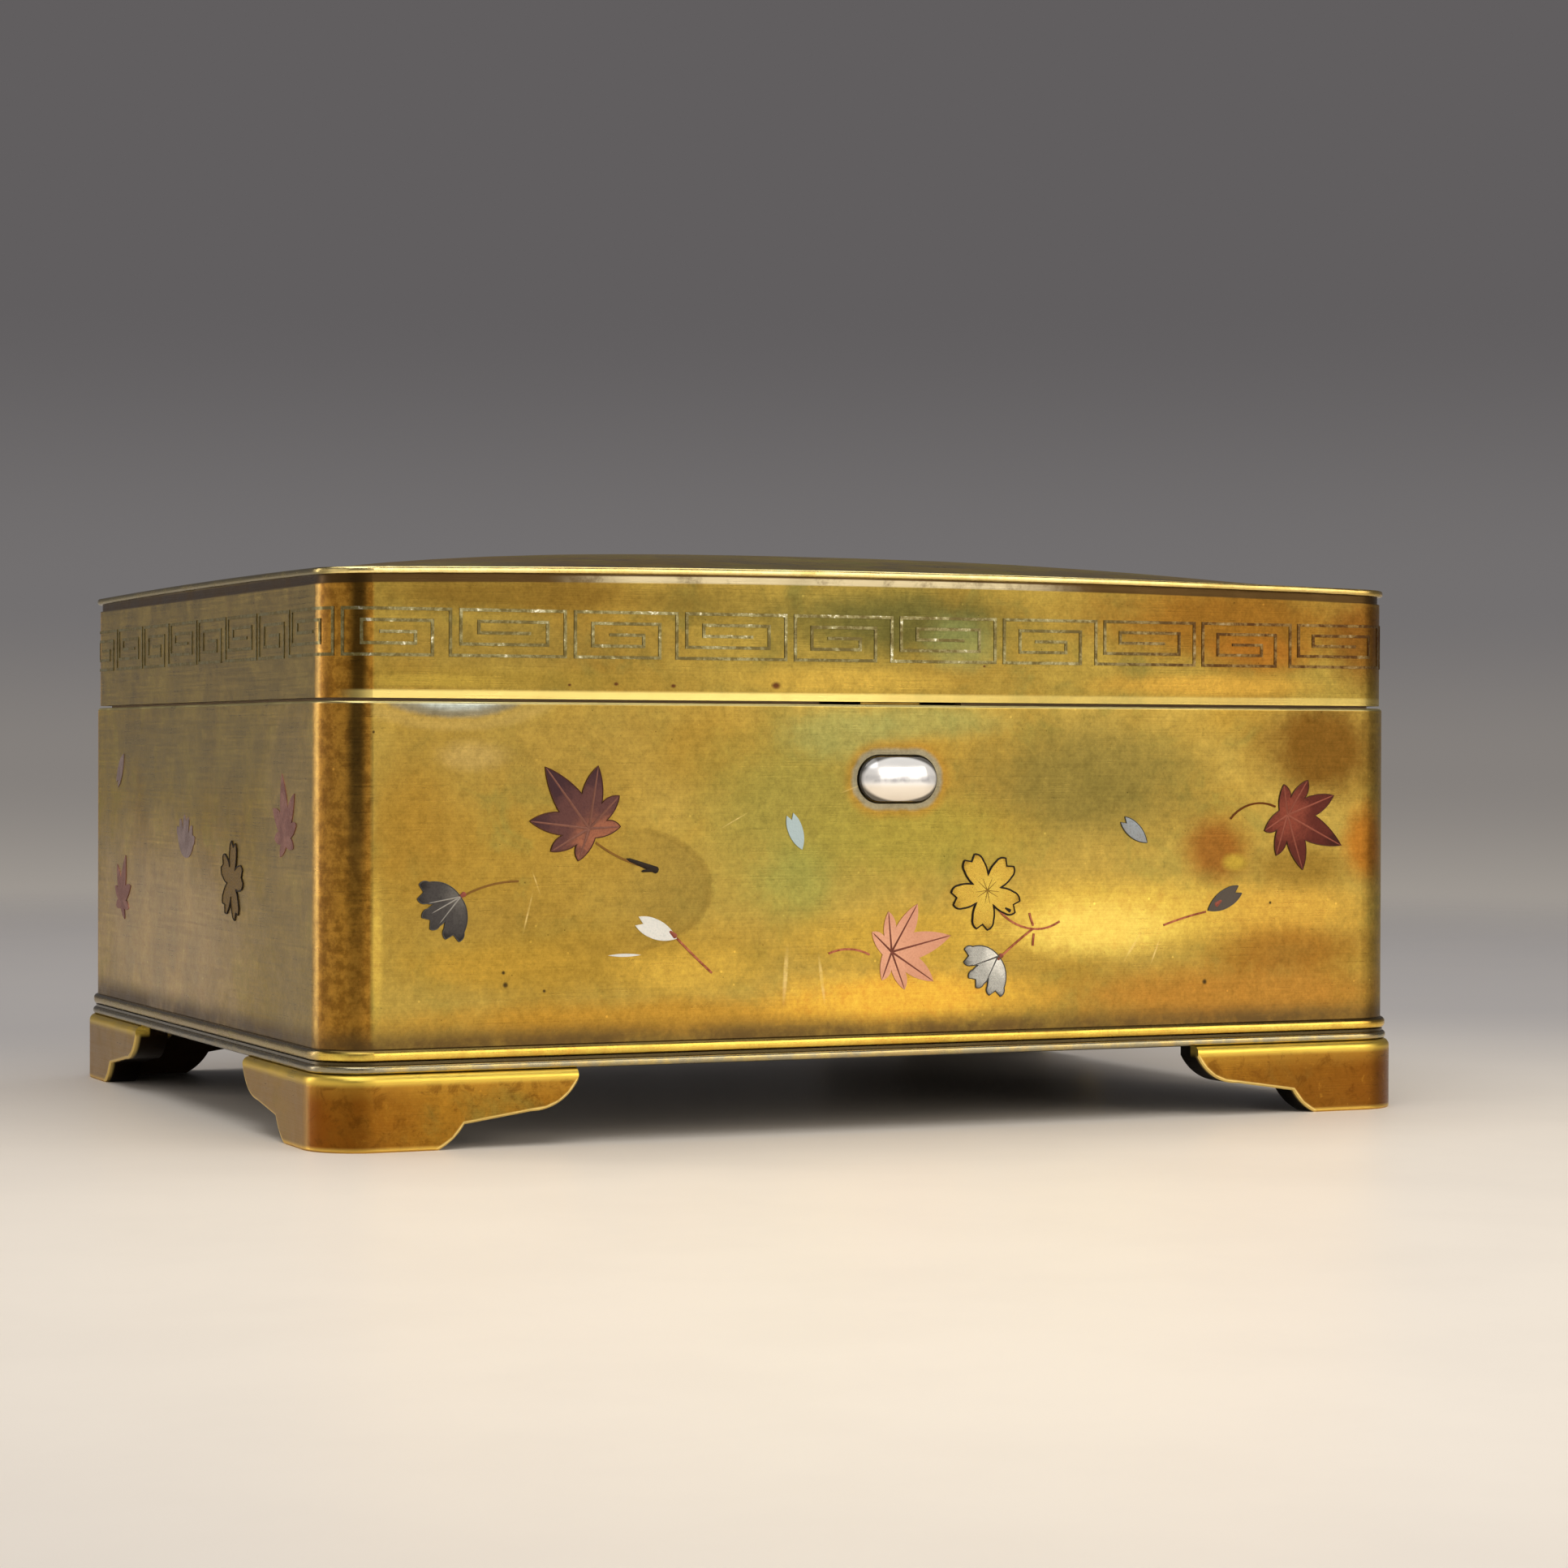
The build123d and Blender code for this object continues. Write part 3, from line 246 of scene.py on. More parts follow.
def new_finish(name, **constants):
    """A material with its wiring, its shader and the place on the part in millimetres."""
    material = bpy.data.materials.new(name)
    material.use_nodes = True
    wiring = Wiring(material.node_tree)
    shader = material.node_tree.nodes["Principled BSDF"]
    for socket, value in constants.items():
        shader.inputs[socket.replace("_", " ")].default_value = value
    spot = wiring.add("TexCoord").outputs["Object"]
    place = wiring.stretch(spot, (1 / MM, 1 / MM, 1 / MM))
    return material, wiring, shader, place


def lay(wiring, shader, colour, rough=None, relief=None, depth=0.02):
    """Feeds a finish into its shader: colour, roughness and small relief, whose depth is in millimetres."""
    wiring.feed(shader.inputs["Base Color"], colour)
    if rough is not None:
        wiring.feed(shader.inputs["Roughness"], rough)
    if relief is not None:
        raised = wiring.add("Bump", {"Height": relief, "Distance": depth * MM, "Strength": 1.0})
        wiring.feed(shader.inputs["Normal"], raised.outputs[0])


def dress(material, *names):
    for name in names:
        nodes[name].data.materials.clear()
        nodes[name].data.materials.append(material)


print("wiring ready")

# %% [markdown]
# ## Brass that has aged
# Old brass is never one colour. Handling keeps some of it bright, lacquer and dirt turn the rest olive,
# brown or faintly green, and the last strokes of polishing leave fine lines along each wall. One group
# makes all of that from clouds of noise, and every brass part mixes it from its own four tones.

# %% Group for aged brass
GRAIN_SHARE = 0.85

brass, given, result = new_group(
    "aged_brass",
    {"Place": "vector", "Lines": "vector", "Clean": "colour", "Warm": "colour", "Green": "colour",
     "Dirt": "colour", "Ageing": "number", "Shine": "number"},
    {"Tones": "colour", "Grain": "number"} | SURFACE,
)
wide_cloud = brass.noise(given["Place"], 0.028, 4.0, 0.6, 0.4)
small_cloud = brass.noise(given["Place"], 0.11, 5.0, 0.62, 0.6)
mottle = brass.noise(given["Place"], 0.5, 5.0, 0.75)
grit = brass.noise(given["Place"], 2.2, 3.0, 0.7)
strokes = brass.noise(given["Lines"], 1.0, 5.0, 0.75)
pits = brass.times(brass.spots(given["Place"], 0.55, 0.085), brass.fade(small_cloud, 0.5, 0.6))
flecks = brass.spots(brass.vector("ADD", given["Place"], (31.0, 17.0, 5.0)), 0.3, 0.075)
flecks = brass.times(flecks, brass.fade(small_cloud, 0.45, 0.55))
tones = given["Clean"]
for cloud, low, high, name in ((wide_cloud, 0.42, 0.66, "Warm"), (small_cloud, 0.5, 0.72, "Green")):
    tones = brass.mix(brass.times(brass.fade(cloud, low, high), given["Ageing"]), tones, given[name])
grain = 0.5
for cloud, weight in ((mottle, -0.5), (grit, -0.42), (strokes, 0.3), (pits, -0.25), (flecks, 0.3)):
    offset = 0.0 if cloud in (pits, flecks) else 0.5
    grain = brass.plus(grain, brass.times(brass.minus(cloud, offset), weight))
grain = brass.add("Clamp", {0: grain}).outputs[0]
colour = brass.mix(GRAIN_SHARE, tones, grain, "OVERLAY")
brass.feed(result["Tones"], tones)
brass.feed(result["Grain"], grain)
brass.feed(result["Colour"], brass.mix(brass.fade(grain, 0.42, 0.26, 0.0, 0.5), colour, given["Dirt"]))
rough = brass.plus(given["Shine"], brass.fade(small_cloud, 0.35, 0.75, -0.04, 0.1))
brass.feed(result["Roughness"], brass.plus(rough, brass.fade(strokes, 0.3, 0.75, -0.05, 0.07)))
brass.feed(result["Relief"], brass.minus(strokes, brass.times(pits, 0.8)))
print("group", brass.tree.name, "has", len(brass.tree.nodes), "nodes")

# %% [markdown]
# ## Stains and painted light
# The large tones of a wall are laid one by one, as ragged patches. A patch is written as its middle and
# its reach in millimetres, its tone and its strength, so a wall's list reads like a map of its stains.
# Some patches are painted light, not stains: bright bands and lines that stand in for reflections.

# %% Patches on the walls
GOLD = {"Clean": tone("ae9446"), "Warm": tone("9f7e30"), "Green": tone("968c44"), "Dirt": tone("6e5424")}
LEVEL_LINES = (0.05, 0.05, 5.0)  # stretches noise into fine strokes that run level round every wall
PATCH_DEPTH = 12
LEFT_FACE, LEFT_DEPTH = -90, 4
FAR = 1000.0  # further than anything on the box


def brass_finish(name, tones, ageing=0.7, shine=0.34, lines=LEVEL_LINES, depth=0.02):
    """An aged brass finish: its material, wiring, shader, place and group outputs."""
    material, wiring, shader, place = new_finish(name, Metallic=1.0)
    lined = wiring.stretch(place, lines)
    sockets = {"Place": place, "Lines": lined, "Ageing": ageing, "Shine": shine}
    made = use_group(wiring, "aged_brass", sockets | tones)
    lay(wiring, shader, made["Colour"], made["Roughness"], made["Relief"], depth)
    return material, wiring, shader, place, made


def stain_and_sheen(wiring, colour, place, ragged, patches, left=False):
    """Lays the patches of the front wall, or of the left one, over a colour; some are stains, some painted
    reflection.
    """
    for (along, up), (reach, reach_up), code, strength in patches:
        centre, size = (along, WALL_FRONT, up), (reach, PATCH_DEPTH, reach_up)
        if left:
            centre, size = (LEFT_FACE, along, up), (LEFT_DEPTH, reach, reach_up)
        mask = wiring.patch(place, centre, size, ragged)
        colour = wiring.paint(colour, (wiring.times(mask, strength), code))
    return colour


def speckle(wiring, colour, place, specks, code, flat=1.0):
    """Small dark spots on the front wall."""
    return stain_and_sheen(wiring, colour, place, None, [((x, z), (size, size * flat), code, 1.0) for x, z, size in specks])


def hold_grain(wiring, painted, made):
    """Lets the fine grain of the plain brass show through the painted stains."""
    return wiring.mix(GRAIN_SHARE, painted, made["Grain"], "OVERLAY")


# wide waves with fine crumbs on them break up the edges of the stains
edges, given, result = new_group("ragged_edge", {"Place": "vector"}, {"Ragged": "number"})
waves = edges.noise(given["Place"], 0.085, 5.0, 0.65, 0.5)
crumbs = edges.noise(given["Place"], 0.6, 4.0, 0.7)
edges.feed(result["Ragged"], edges.plus(edges.times(waves, 0.66), edges.times(crumbs, 0.34)))
print("group", edges.tree.name, "has", len(edges.tree.nodes), "nodes")

# %% [markdown]
# ## Rounded corners
# The upright corners of case and lid turn redder and keep dark spots. The left ones also get painted light:
# a dark stripe of painted reflection that fades downwards, and a painted highlight line where the corner
# meets the left wall.

# %% Group for the rounded corners
WALLS_MIDDLE = (0, (CASE_HIGH.y + CASE_LOW.y) / 2, 0)
HALF_LENGTH = CASE_HIGH.x
CORNER_ROUND = 6.8
CORNER_START = (HALF_LENGTH - CORNER_ROUND, (CASE_HIGH.y - CASE_LOW.y) / 2 - CORNER_ROUND, 0)

corners, given, result = new_group(
    "round_corners",
    {"Place": "vector", "Under": "colour", "Stripe low": "number", "Stripe high": "number", "Inset": "number"},
    {"Colour": "colour"},
)
across, _, height = corners.axes(given["Place"])
past_x, past_y, _ = corners.axes(corners.off(corners.spread(given["Place"], WALLS_MIDDLE), CORNER_START))
past_x, past_y = corners.plus(past_x, given["Inset"]), corners.plus(past_y, given["Inset"])
on_left = corners.fade(across, 1.0, -1.0)
on_corner = corners.times(corners.fade(past_x, -0.2, 0.5), corners.fade(past_y, -0.3, 1.0))
# the stripe is painted reflection: a dark line down the left corners, darkest at high
stripe = corners.fade(height, given["Stripe low"], given["Stripe high"], 0.25, 1.0)
stripe = corners.times(corners.times(corners.band(past_x, 2.2, 1.6), stripe), on_left)
spots = corners.noise(given["Place"], 0.5, 4.0, 0.7)
shade = corners.mix(corners.fade(spots, 0.4, 0.62), tone("b07e2e"), tone("90601e"))
shade = corners.mix(stripe, shade, tone("4e3210"))
colour = corners.mix(corners.times(on_corner, corners.fade(across, 1.0, -1.0, 0.1, 0.85)), given["Under"], shade)
# a painted highlight line where the left corners meet the left wall
wear_and_highlight = corners.times(corners.band(past_y, 1.2, 1.2, 0.55), corners.fade(past_x, 5.0, 6.0))
corners.feed(result["Colour"], corners.mix(corners.times(wear_and_highlight, on_left), colour, tone("e6c272")))


def round_corners(wiring, place, colour, low, high, inset=0.0):
    """Adds the corners and their painted light to a wall; the stripe is darkest at high and palest at low."""
    sockets = {"Place": place, "Under": colour, "Stripe low": low, "Stripe high": high, "Inset": inset}
    return use_group(wiring, "round_corners", sockets)["Colour"]


print("group", corners.tree.name, "has", len(corners.tree.nodes), "nodes")

# %% [markdown]
# ## The case walls
# Olive and faint green near the button, a brown ring left by something wet, bright bands low down that are
# the pale table's reflection painted in, an orange flush at the right end and a grey smear where lacquer
# ran out under the seam. The corner above the base is darkened as painted shade with dirt, the rounded top
# edge gets a painted highlight line, and the left wall a painted reflection, lighter low down.

# %% Case walls
FRONT_PATCHES = [
    ((-46, 57), (62, 13), "99803c", 0.65),
    ((-30, 58), (16, 10), "9a7a2e", 0.6),
    ((-16, 48), (24, 20), "8c843e", 0.8),
    ((-9, 60), (14, 6), "8f9458", 0.55),
    ((-17, 38), (10, 8), "8d944c", 0.5),
    ((6, 62), (18, 4), "8d9458", 0.55),
    ((33, 53), (32, 14), "7c6e36", 0.9),
    ((4, 44), (26, 9), "988c3c", 0.75),
    ((-77, 46), (12, 14), "9c782e", 0.65),
    # the next seven are bright bands low down: painted reflection of the pale table
    ((-49, 27), (46, 8), "a58534", 0.9),
    ((-66, 26), (16, 4), "b59138", 0.7),
    ((-34, 25), (17, 5), "ceaa48", 0.6),
    ((4, 29), (28, 7), "bb993c", 0.8),
    ((38, 32), (36, 8), "d2b04c", 0.95),
    ((34, 30), (20, 6), "e6ca62", 0.9),
    ((70, 32), (20, 7), "cba144", 0.85),
    ((76, 58), (18, 12), "6a4717", 0.92),
    ((72, 39), (13, 5), "8c6e2c", 0.85),
    ((56, 42), (8, 7), "8a5722", 0.88),
    ((84, 43), (6, 9), "a8681f", 0.85),
    ((59.5, 40), (3, 1.8), "b39a3a", 0.8),
    ((-68, 33), (18, 4), "967a36", 0.5),
    # the next three are bright bands lower still, also painted reflection of the table
    ((-40, 18), (64, 4), "b4842c", 0.7),
    ((2, 20), (32, 6), "e2b042", 0.9),
    ((60, 19), (42, 7), "ab7830", 0.85),
    ((70, 26), (20, 6), "8f5c1e", 0.7),
    ((-68, 56.5), (7.5, 3), "b69d60", 0.5),
    ((-86, 50), (4, 17), "908850", 0.85),
    # a painted highlight: a thin bright upright line just right of the left corner
    ((-82.5, 28), (1.2, 15), "dab854", 0.6),
]
RING_MIDDLE, RING_REACH = (-46.5, WALL_FRONT, 37), (16.0, PATCH_DEPTH, 9.6)
SMEAR_MIDDLE, SMEAR_REACH = (-71, WALL_FRONT, 66.3), (13.0, PATCH_DEPTH, 4.6)
BUTTON_LOW, BUTTON_HIGH = box("push_button")
BUTTON_MIDDLE = Vector(((BUTTON_LOW.x + BUTTON_HIGH.x) / 2, WALL_FRONT, (BUTTON_LOW.z + BUTTON_HIGH.z) / 2))
BUTTON_ROUND = (BUTTON_HIGH.z - BUTTON_LOW.z) / 2
BUTTON_STRAIGHT = (BUTTON_HIGH.x - BUTTON_LOW.x) / 2 - BUTTON_ROUND
SPECKS = [(-63, 23.4, 0.6), (-63.3, 25.2, 0.4), (-57, 22.4, 0.35), (54, 21.2, 0.6), (66, 33.5, 0.35),
          (-83, 60, 0.3)]
# across, up, width, half length and lean in degrees
SCRATCHES = [(-59.5, 34, 0.2, 4.0, 14), (-58.2, 38, 0.16, 2.4, -20), (-18.5, 24, 0.5, 5.5, 4),
             (-12.5, 23, 0.4, 4.5, -8), (41, 27, 0.3, 3.4, 34), (45, 26, 0.22, 2.6, 22),
             (-7, 52, 0.16, 3.0, 70), (-27, 47, 0.14, 3.2, 62)]
# the left wall's painted reflection: lighter tan low down, grey-brown higher up, paler towards the back
SIDE_REFLECTIONS = [
    ((20, 26), (80, 26), "d6bb8c", 0.88),
    ((0, 58), (90, 14), "9c8a58", 0.7),
    ((-55, 40), (26, 40), "b39c6c", 0.6),
]

material, wiring, shader, place, made = brass_finish("case_brass", GOLD)
ragged = use_group(wiring, "ragged_edge", {"Place": place})["Ragged"]
fine_ragged = wiring.noise(place, 0.5, 4.0, 0.6)
colour = stain_and_sheen(wiring, made["Tones"], place, ragged, FRONT_PATCHES)
ring = wiring.wobble(wiring.oval(place, RING_MIDDLE, RING_REACH), ragged, 0.35)
smear = wiring.wobble(wiring.oval(place, SMEAR_MIDDLE, SMEAR_REACH), ragged, 0.3)
across, _, height = wiring.axes(place)
right_half = wiring.fade(across, -50.0, -36.0, 0.15, 1.0)
beside = wiring.beyond(place, BUTTON_MIDDLE, (BUTTON_STRAIGHT, FAR, 0))
gap = wiring.wobble(wiring.minus(beside, BUTTON_ROUND), fine_ragged, 0.8)
colour = wiring.paint(
    colour,
    (wiring.times(wiring.fade(ring, 1.0, 0.9), wiring.times(right_half, 0.6)), "867034"),
    (wiring.times(wiring.band(ring, 0.97, 0.07, 0.55), right_half), "7f682e"),
    (wiring.band(smear, 1.12, 0.3, 0.5), "b39a58"),
    (wiring.fade(smear, 1.0, 0.8, 0.0, 0.9), "7f7a66"),
    (wiring.fade(smear, 0.8, 0.5, 0.0, 0.9), "b4beb8"),
    (wiring.fade(gap, 3.2, 1.5, 0.0, 0.65), "a57c30"),
    (wiring.fade(gap, 1.7, 0.9, 0.0, 0.9), "8b8670"),
)
colour = speckle(wiring, colour, place, SPECKS, "4a3a20")
for x, z, thick, half, lean in SCRATCHES:
    turned = wiring.stretch(wiring.off(place, (x, WALL_FRONT, z)), (1, 1, 1), (0, radians(-lean), 0))
    mask = wiring.patch(turned, (0, 0, 0), (thick, PATCH_DEPTH, half))
    colour = wiring.paint(colour, (wiring.times(mask, wiring.fade(fine_ragged, 0.4, 0.6, 0.2, 0.7)), "e2c880"))
# painted reflection on the left wall
colour = stain_and_sheen(wiring, colour, place, ragged, SIDE_REFLECTIONS, left=True)
colour = round_corners(wiring, place, colour, CASE_BOTTOM + 6, CASE_TOP)
colour = hold_grain(wiring, colour, made)
# painted shade with dirt in the crease above the base, and a painted highlight along the rounded top edge
crease_shade_and_dirt = wiring.fade(height, CASE_BOTTOM + 4.0, CASE_BOTTOM + 0.4)
colour = wiring.paint(
    colour,
    (wiring.times(crease_shade_and_dirt, wiring.fade(ragged, 0.3, 0.6, 0.5, 0.95)), "5f4a2c"),
    (wiring.fade(height, CASE_TOP - 0.5, CASE_TOP - 0.2, 0.0, 0.8), "e8dc9a"),
)
lay(wiring, shader, colour)
dress(material, "case_walls")
print("case walls dressed with", len(FRONT_PATCHES), "patches")

# %% [markdown]
# ## The lid
# A bright band runs just above the seam, and a painted highlight line runs along the lid's lower edge. The
# hollow under the rim is darkened as painted shade with dirt, and the left face gets a paler painted
# reflection. The rim is arched, so the hollow moulding below it is found by its distance under the arch.
# The domed top is polished across its width.

# %% Lid
LID_GOLD = {"Clean": tone("97813a"), "Warm": tone("8e6d2a"), "Green": tone("807a3e"), "Dirt": tone("644a1e")}
LID_PATCHES = [
    ((-60, 80), (36, 4), "725822", 0.85),
    ((-30, 79), (16, 5), "72602a", 0.6),
    ((-60, 73), (36, 5), "877034", 0.6),
    ((0, 77), (30, 8), "54522a", 0.9),
    ((11, 74), (9, 6), "7f8c56", 0.5),
    ((60, 78), (40, 9), "7d561d", 0.92),
    ((84, 76), (11, 11), "72491a", 0.85),
    ((64, 73), (14, 4), "945e20", 0.7),
    ((-66, 67.6), (42, 2.4), "947c34", 0.85),
    ((-10, 68.0), (26, 2.8), "b29440", 0.85),
    ((54, 67.9), (26, 2.4), "b6903c", 0.9),
    ((-74, 67.4), (14, 1.4), "b0963f", 0.6),
]
LID_SPECKS = [(-45.7, 67.2, 0.55), (-36.6, 67.0, 0.6), (-20, 67.2, 1.1), (-53, 67.0, 0.4), (15, 70.5, 0.35)]
EDGE_LINE = LID_BOTTOM + 0.9
ARCH = 1.15  # how much higher the middle of the rim is than its ends
BEAD = 1.05
COVE = 1.2
LID_INSET = 0.4
RIM_LEVEL = box("lid_rim")[1].z - ARCH

material, wiring, shader, place, made = brass_finish("lid_brass", LID_GOLD)
ragged = use_group(wiring, "ragged_edge", {"Place": place})["Ragged"]
across, _, height = wiring.axes(place)
colour = stain_and_sheen(wiring, made["Tones"], place, ragged, LID_PATCHES)
colour = speckle(wiring, colour, place, LID_SPECKS, "5a3820", 0.7)
# a paler painted reflection on the lid's left face
colour = wiring.paint(colour, (wiring.fade(across, -88.0, -89.4, 0.0, 0.7), "a08c58"))
cornered = round_corners(wiring, place, colour, LID_BOTTOM - 30, LID_BOTTOM, LID_INSET)
colour = wiring.mix(wiring.fade(height, 84.5, 83.0), colour, cornered)
colour = hold_grain(wiring, colour, made)
# a painted highlight along the lid's lower edge, just above the seam
lid_edge_highlight = wiring.fade(height, EDGE_LINE + 0.5, EDGE_LINE)
lid_edge_highlight = wiring.times(lid_edge_highlight, wiring.fade(across, 30.0, -20.0, 0.35, 0.9))
share = wiring.math("POWER", wiring.math("DIVIDE", across, HALF_LENGTH), 2.0)
below = wiring.minus(wiring.minus(RIM_LEVEL + ARCH, wiring.times(share, ARCH)), height)
# the hollow under the rim: darkened as painted shade with dirt, pale grey in its middle
in_cove = wiring.fade(below, BEAD + COVE + 0.2, BEAD + COVE - 0.1)
pale = wiring.times(wiring.fade(across, -58.0, -40.0), wiring.fade(across, 36.0, 14.0))
pale = wiring.times(pale, wiring.fade(ragged, 0.38, 0.52, 0.3, 0.9))
pale = wiring.times(pale, wiring.fade(below, BEAD + 0.15, BEAD + 0.4))
colour = wiring.paint(colour, (wiring.times(lid_edge_highlight, wiring.fade(across, -88.0, -84.0)), "f0da84"))
cove_tone = wiring.mix(pale, tone("4e3b20"), tone("c6ba96"))
colour = wiring.mix(wiring.times(in_cove, wiring.fade(below, BEAD - 0.5, BEAD - 0.1)), colour, cove_tone)
lay(wiring, shader, colour)
dress(material, "lid_shell")
print("lid from", round(LID_BOTTOM, 1), "to", round(LID_TOP, 1), "mm")

# %% [markdown]
# ## Mouldings and feet
# The rim bead and the base bead stand proud, so they stay polished. The groove of the base moulding, the
# crease at its top and its lower edge are darkened as painted shade, and the left faces of bead, base and
# feet get a painted reflection. The feet are cast and redder, with painted highlights on their top ledge,
# their upper faces, their lower edges and the lower outline of their arms. Their inner faces and undersides
# are painted nearly black as shade.

# %% Rim bead, base moulding and feet
BRIGHT = {"Clean": tone("ecc95c"), "Warm": tone("d2a640"), "Green": tone("bda84e"), "Dirt": tone("84642a")}
RIM_BRIGHT = {**BRIGHT, "Clean": tone("f0dc96"), "Warm": tone("d8b45c")}
material, wiring, shader, place, made = brass_finish("rim_brass", RIM_BRIGHT, ageing=0.5, shine=0.2)
across = wiring.axes(place)[0]
# a grey-brown painted reflection on the rim's left face
to_right, left_face_reflection = wiring.fade(across, 30.0, 86.0, 0.0, 0.55), wiring.fade(across, -88.0, -89.5, 0.0, 0.7)
colour = wiring.paint(made["Colour"], (to_right, "a8822c"), (left_face_reflection, "80744a"))
lay(wiring, shader, colour)
dress(material, "lid_rim")

material, wiring, shader, place, made = brass_finish("moulding_brass", BRIGHT, ageing=0.6, shine=0.24)
across, _, height = wiring.axes(place)
BASE_LOW, BASE_HIGH = box("base_plate")[0].z, CASE_BOTTOM
GROOVE = BASE_LOW + 1.5
ragged = wiring.noise(place, 0.3, 4.0, 0.6)
lip = wiring.times(wiring.fade(height, GROOVE - 0.2, GROOVE - 0.5), wiring.fade(ragged, 0.4, 0.6, 0.65, 0.95))
# painted shade in the groove, in the crease at the top and along the lower edge; grey painted reflection on the
# left face
colour = wiring.paint(
    made["Colour"],
    (wiring.fade(wiring.math("ABSOLUTE", wiring.minus(height, GROOVE)), 0.6, 0.2, 0.0, 0.95), "463e30"),
    (wiring.fade(height, BASE_HIGH - 0.7, BASE_HIGH - 0.2, 0.0, 0.9), "5c4c30"),
    (lip, "9c967e"),
    (wiring.fade(height, BASE_LOW + 0.25, BASE_LOW + 0.02, 0.0, 0.95), "2c2114"),
    (wiring.fade(across, -89.6, -90.4, 0.0, 0.6), "8d8878"),
)
lay(wiring, shader, colour)
dress(material, "base_plate")

FEET = ["foot_front_left", "foot_front_right", "foot_back_left", "foot_back_right"]
CAST = {"Clean": tone("9c7024"), "Warm": tone("85581c"), "Green": tone("907832"), "Dirt": tone("4e3010")}
FOOT_LOW, FOOT_HIGH = box("foot_front_left")
FEET_BACK = box("foot_back_right")[1].y
FEET_HALF = Vector((-FOOT_LOW.x, (FEET_BACK - FOOT_LOW.y) / 2, 0))
FEET_MIDDLE = (0, (FEET_BACK + FOOT_LOW.y) / 2, 0)
FOOT_ROUND = 8.4
CORNER_HEART = (90, 70, 5)  # the reddest place of each foot, on whichever side
# the lower edge of a foot's arm, each point measured along the arm from its outer corner, and up
ARM_EDGE = [(17.8, 0.0), (20.1, 1.5), (21.8, 3.6), (32.0, 5.1), (34.3, 5.4), (36.3, 6.2), (37.9, 7.5), (39.3, 9.4)]
# the width of the painted highlight along that edge
EDGE_HIGHLIGHT = 0.55


def off_line(wiring, point, corners):
    """Distance in millimetres from a point to a line through the corners."""
    nearest = FAR
    for start, end in zip(corners, corners[1:]):
        start, end = Vector((start[0], 0, start[1])), Vector((end[0], 0, end[1]))
        gone = wiring.off(point, start)
        share = wiring.math("DIVIDE", wiring.vector("DOT_PRODUCT", gone, end - start), (end - start).length_squared)
        share = wiring.add("Clamp", {0: share}).outputs[0]
        reached = wiring.add("VectorMath", {0: end - start, "Scale": share}, operation="SCALE").outputs[0]
        nearest = wiring.math("MINIMUM", nearest, wiring.vector("DISTANCE", gone, reached))
    return nearest


material, wiring, shader, place, made = brass_finish("foot_brass", CAST, ageing=0.9, shine=0.34, depth=0.03)
across, _, height = wiring.axes(place)
ragged = wiring.noise(place, 0.15, 4.0, 0.6)
blotches = wiring.noise(place, 0.4, 5.0, 0.7, 0.6)
straight = FEET_HALF - Vector((FOOT_ROUND, FOOT_ROUND, -FAR))
inside = wiring.minus(FOOT_ROUND, wiring.beyond(place, FEET_MIDDLE, straight))
away = wiring.vector("DISTANCE", wiring.vector("ABSOLUTE", place), CORNER_HEART)
corner = wiring.times(wiring.fade(away, 19, 3), wiring.fade(ragged, 0.35, 0.65, 0.55, 1.0))
behind_x, behind_y, _ = wiring.axes(wiring.off(FEET_HALF, wiring.spread(place, FEET_MIDDLE)))
along_arm = wiring.math("MAXIMUM", behind_x, behind_y)
off_edge = off_line(wiring, wiring.add("CombineXYZ", {0: along_arm, 2: height}).outputs[0], ARM_EDGE)
ledge_highlight = wiring.times(wiring.fade(height, FOOT_HIGH.z - 2.0, FOOT_HIGH.z - 0.9), wiring.fade(inside, 2.6, 2.2))
# painted light on the feet: highlights on the upper faces, lower edge, arms' outline and top ledge, a paler painted
# reflection on the left face, and near-black painted shade inside
colour = wiring.paint(
    made["Colour"],
    (corner, "8a5216"),
    (wiring.fade(across, 40.0, 70.0, 0.0, 0.6), "754616"),
    (wiring.fade(height, FOOT_HIGH.z - 4.5, FOOT_HIGH.z - 1.2, 0.0, 0.35), "cfa040"),
    (wiring.fade(blotches, 0.5, 0.66, 0.0, 0.5), "5e3610"),
    (wiring.fade(blotches, 0.4, 0.3, 0.0, 0.35), "b8862e"),
    (wiring.fade(across, FOOT_LOW.x + 0.5, FOOT_LOW.x + 0.1, 0.0, 0.7), "a88a54"),
    (wiring.fade(height, 0.9, 0.2, 0.0, 0.85), "f0c860"),
    (wiring.fade(off_edge, EDGE_HIGHLIGHT, EDGE_HIGHLIGHT * 0.4, 0.0, 0.9), "f4d680"),
    (wiring.fade(inside, 0.45, 1.1), "21170b"),
    (ledge_highlight, "e9c858"),
)
lay(wiring, shader, colour)
dress(material, *FEET)
print("mouldings and", len(FEET), "feet dressed")

# %% [markdown]
# Small brass hardware is turned or sawn from bar and never polished again, so it is plainer and duller.

# %% Hinge, catch and screws
HARD = {"Clean": tone("b3954a"), "Warm": tone("9a7434"), "Green": tone("8e8648"), "Dirt": tone("54401c")}
TURNED_LINES = (4.0, 0.3, 0.3)
material, *_ = brass_finish("hardware_brass", HARD, ageing=0.6, shine=0.38, lines=TURNED_LINES)
dress(material, "hinge_case_half", "hinge_lid_half", "catch_block", "catch_rivets", "lid_keeper",
      "button_guide", "foot_screws")

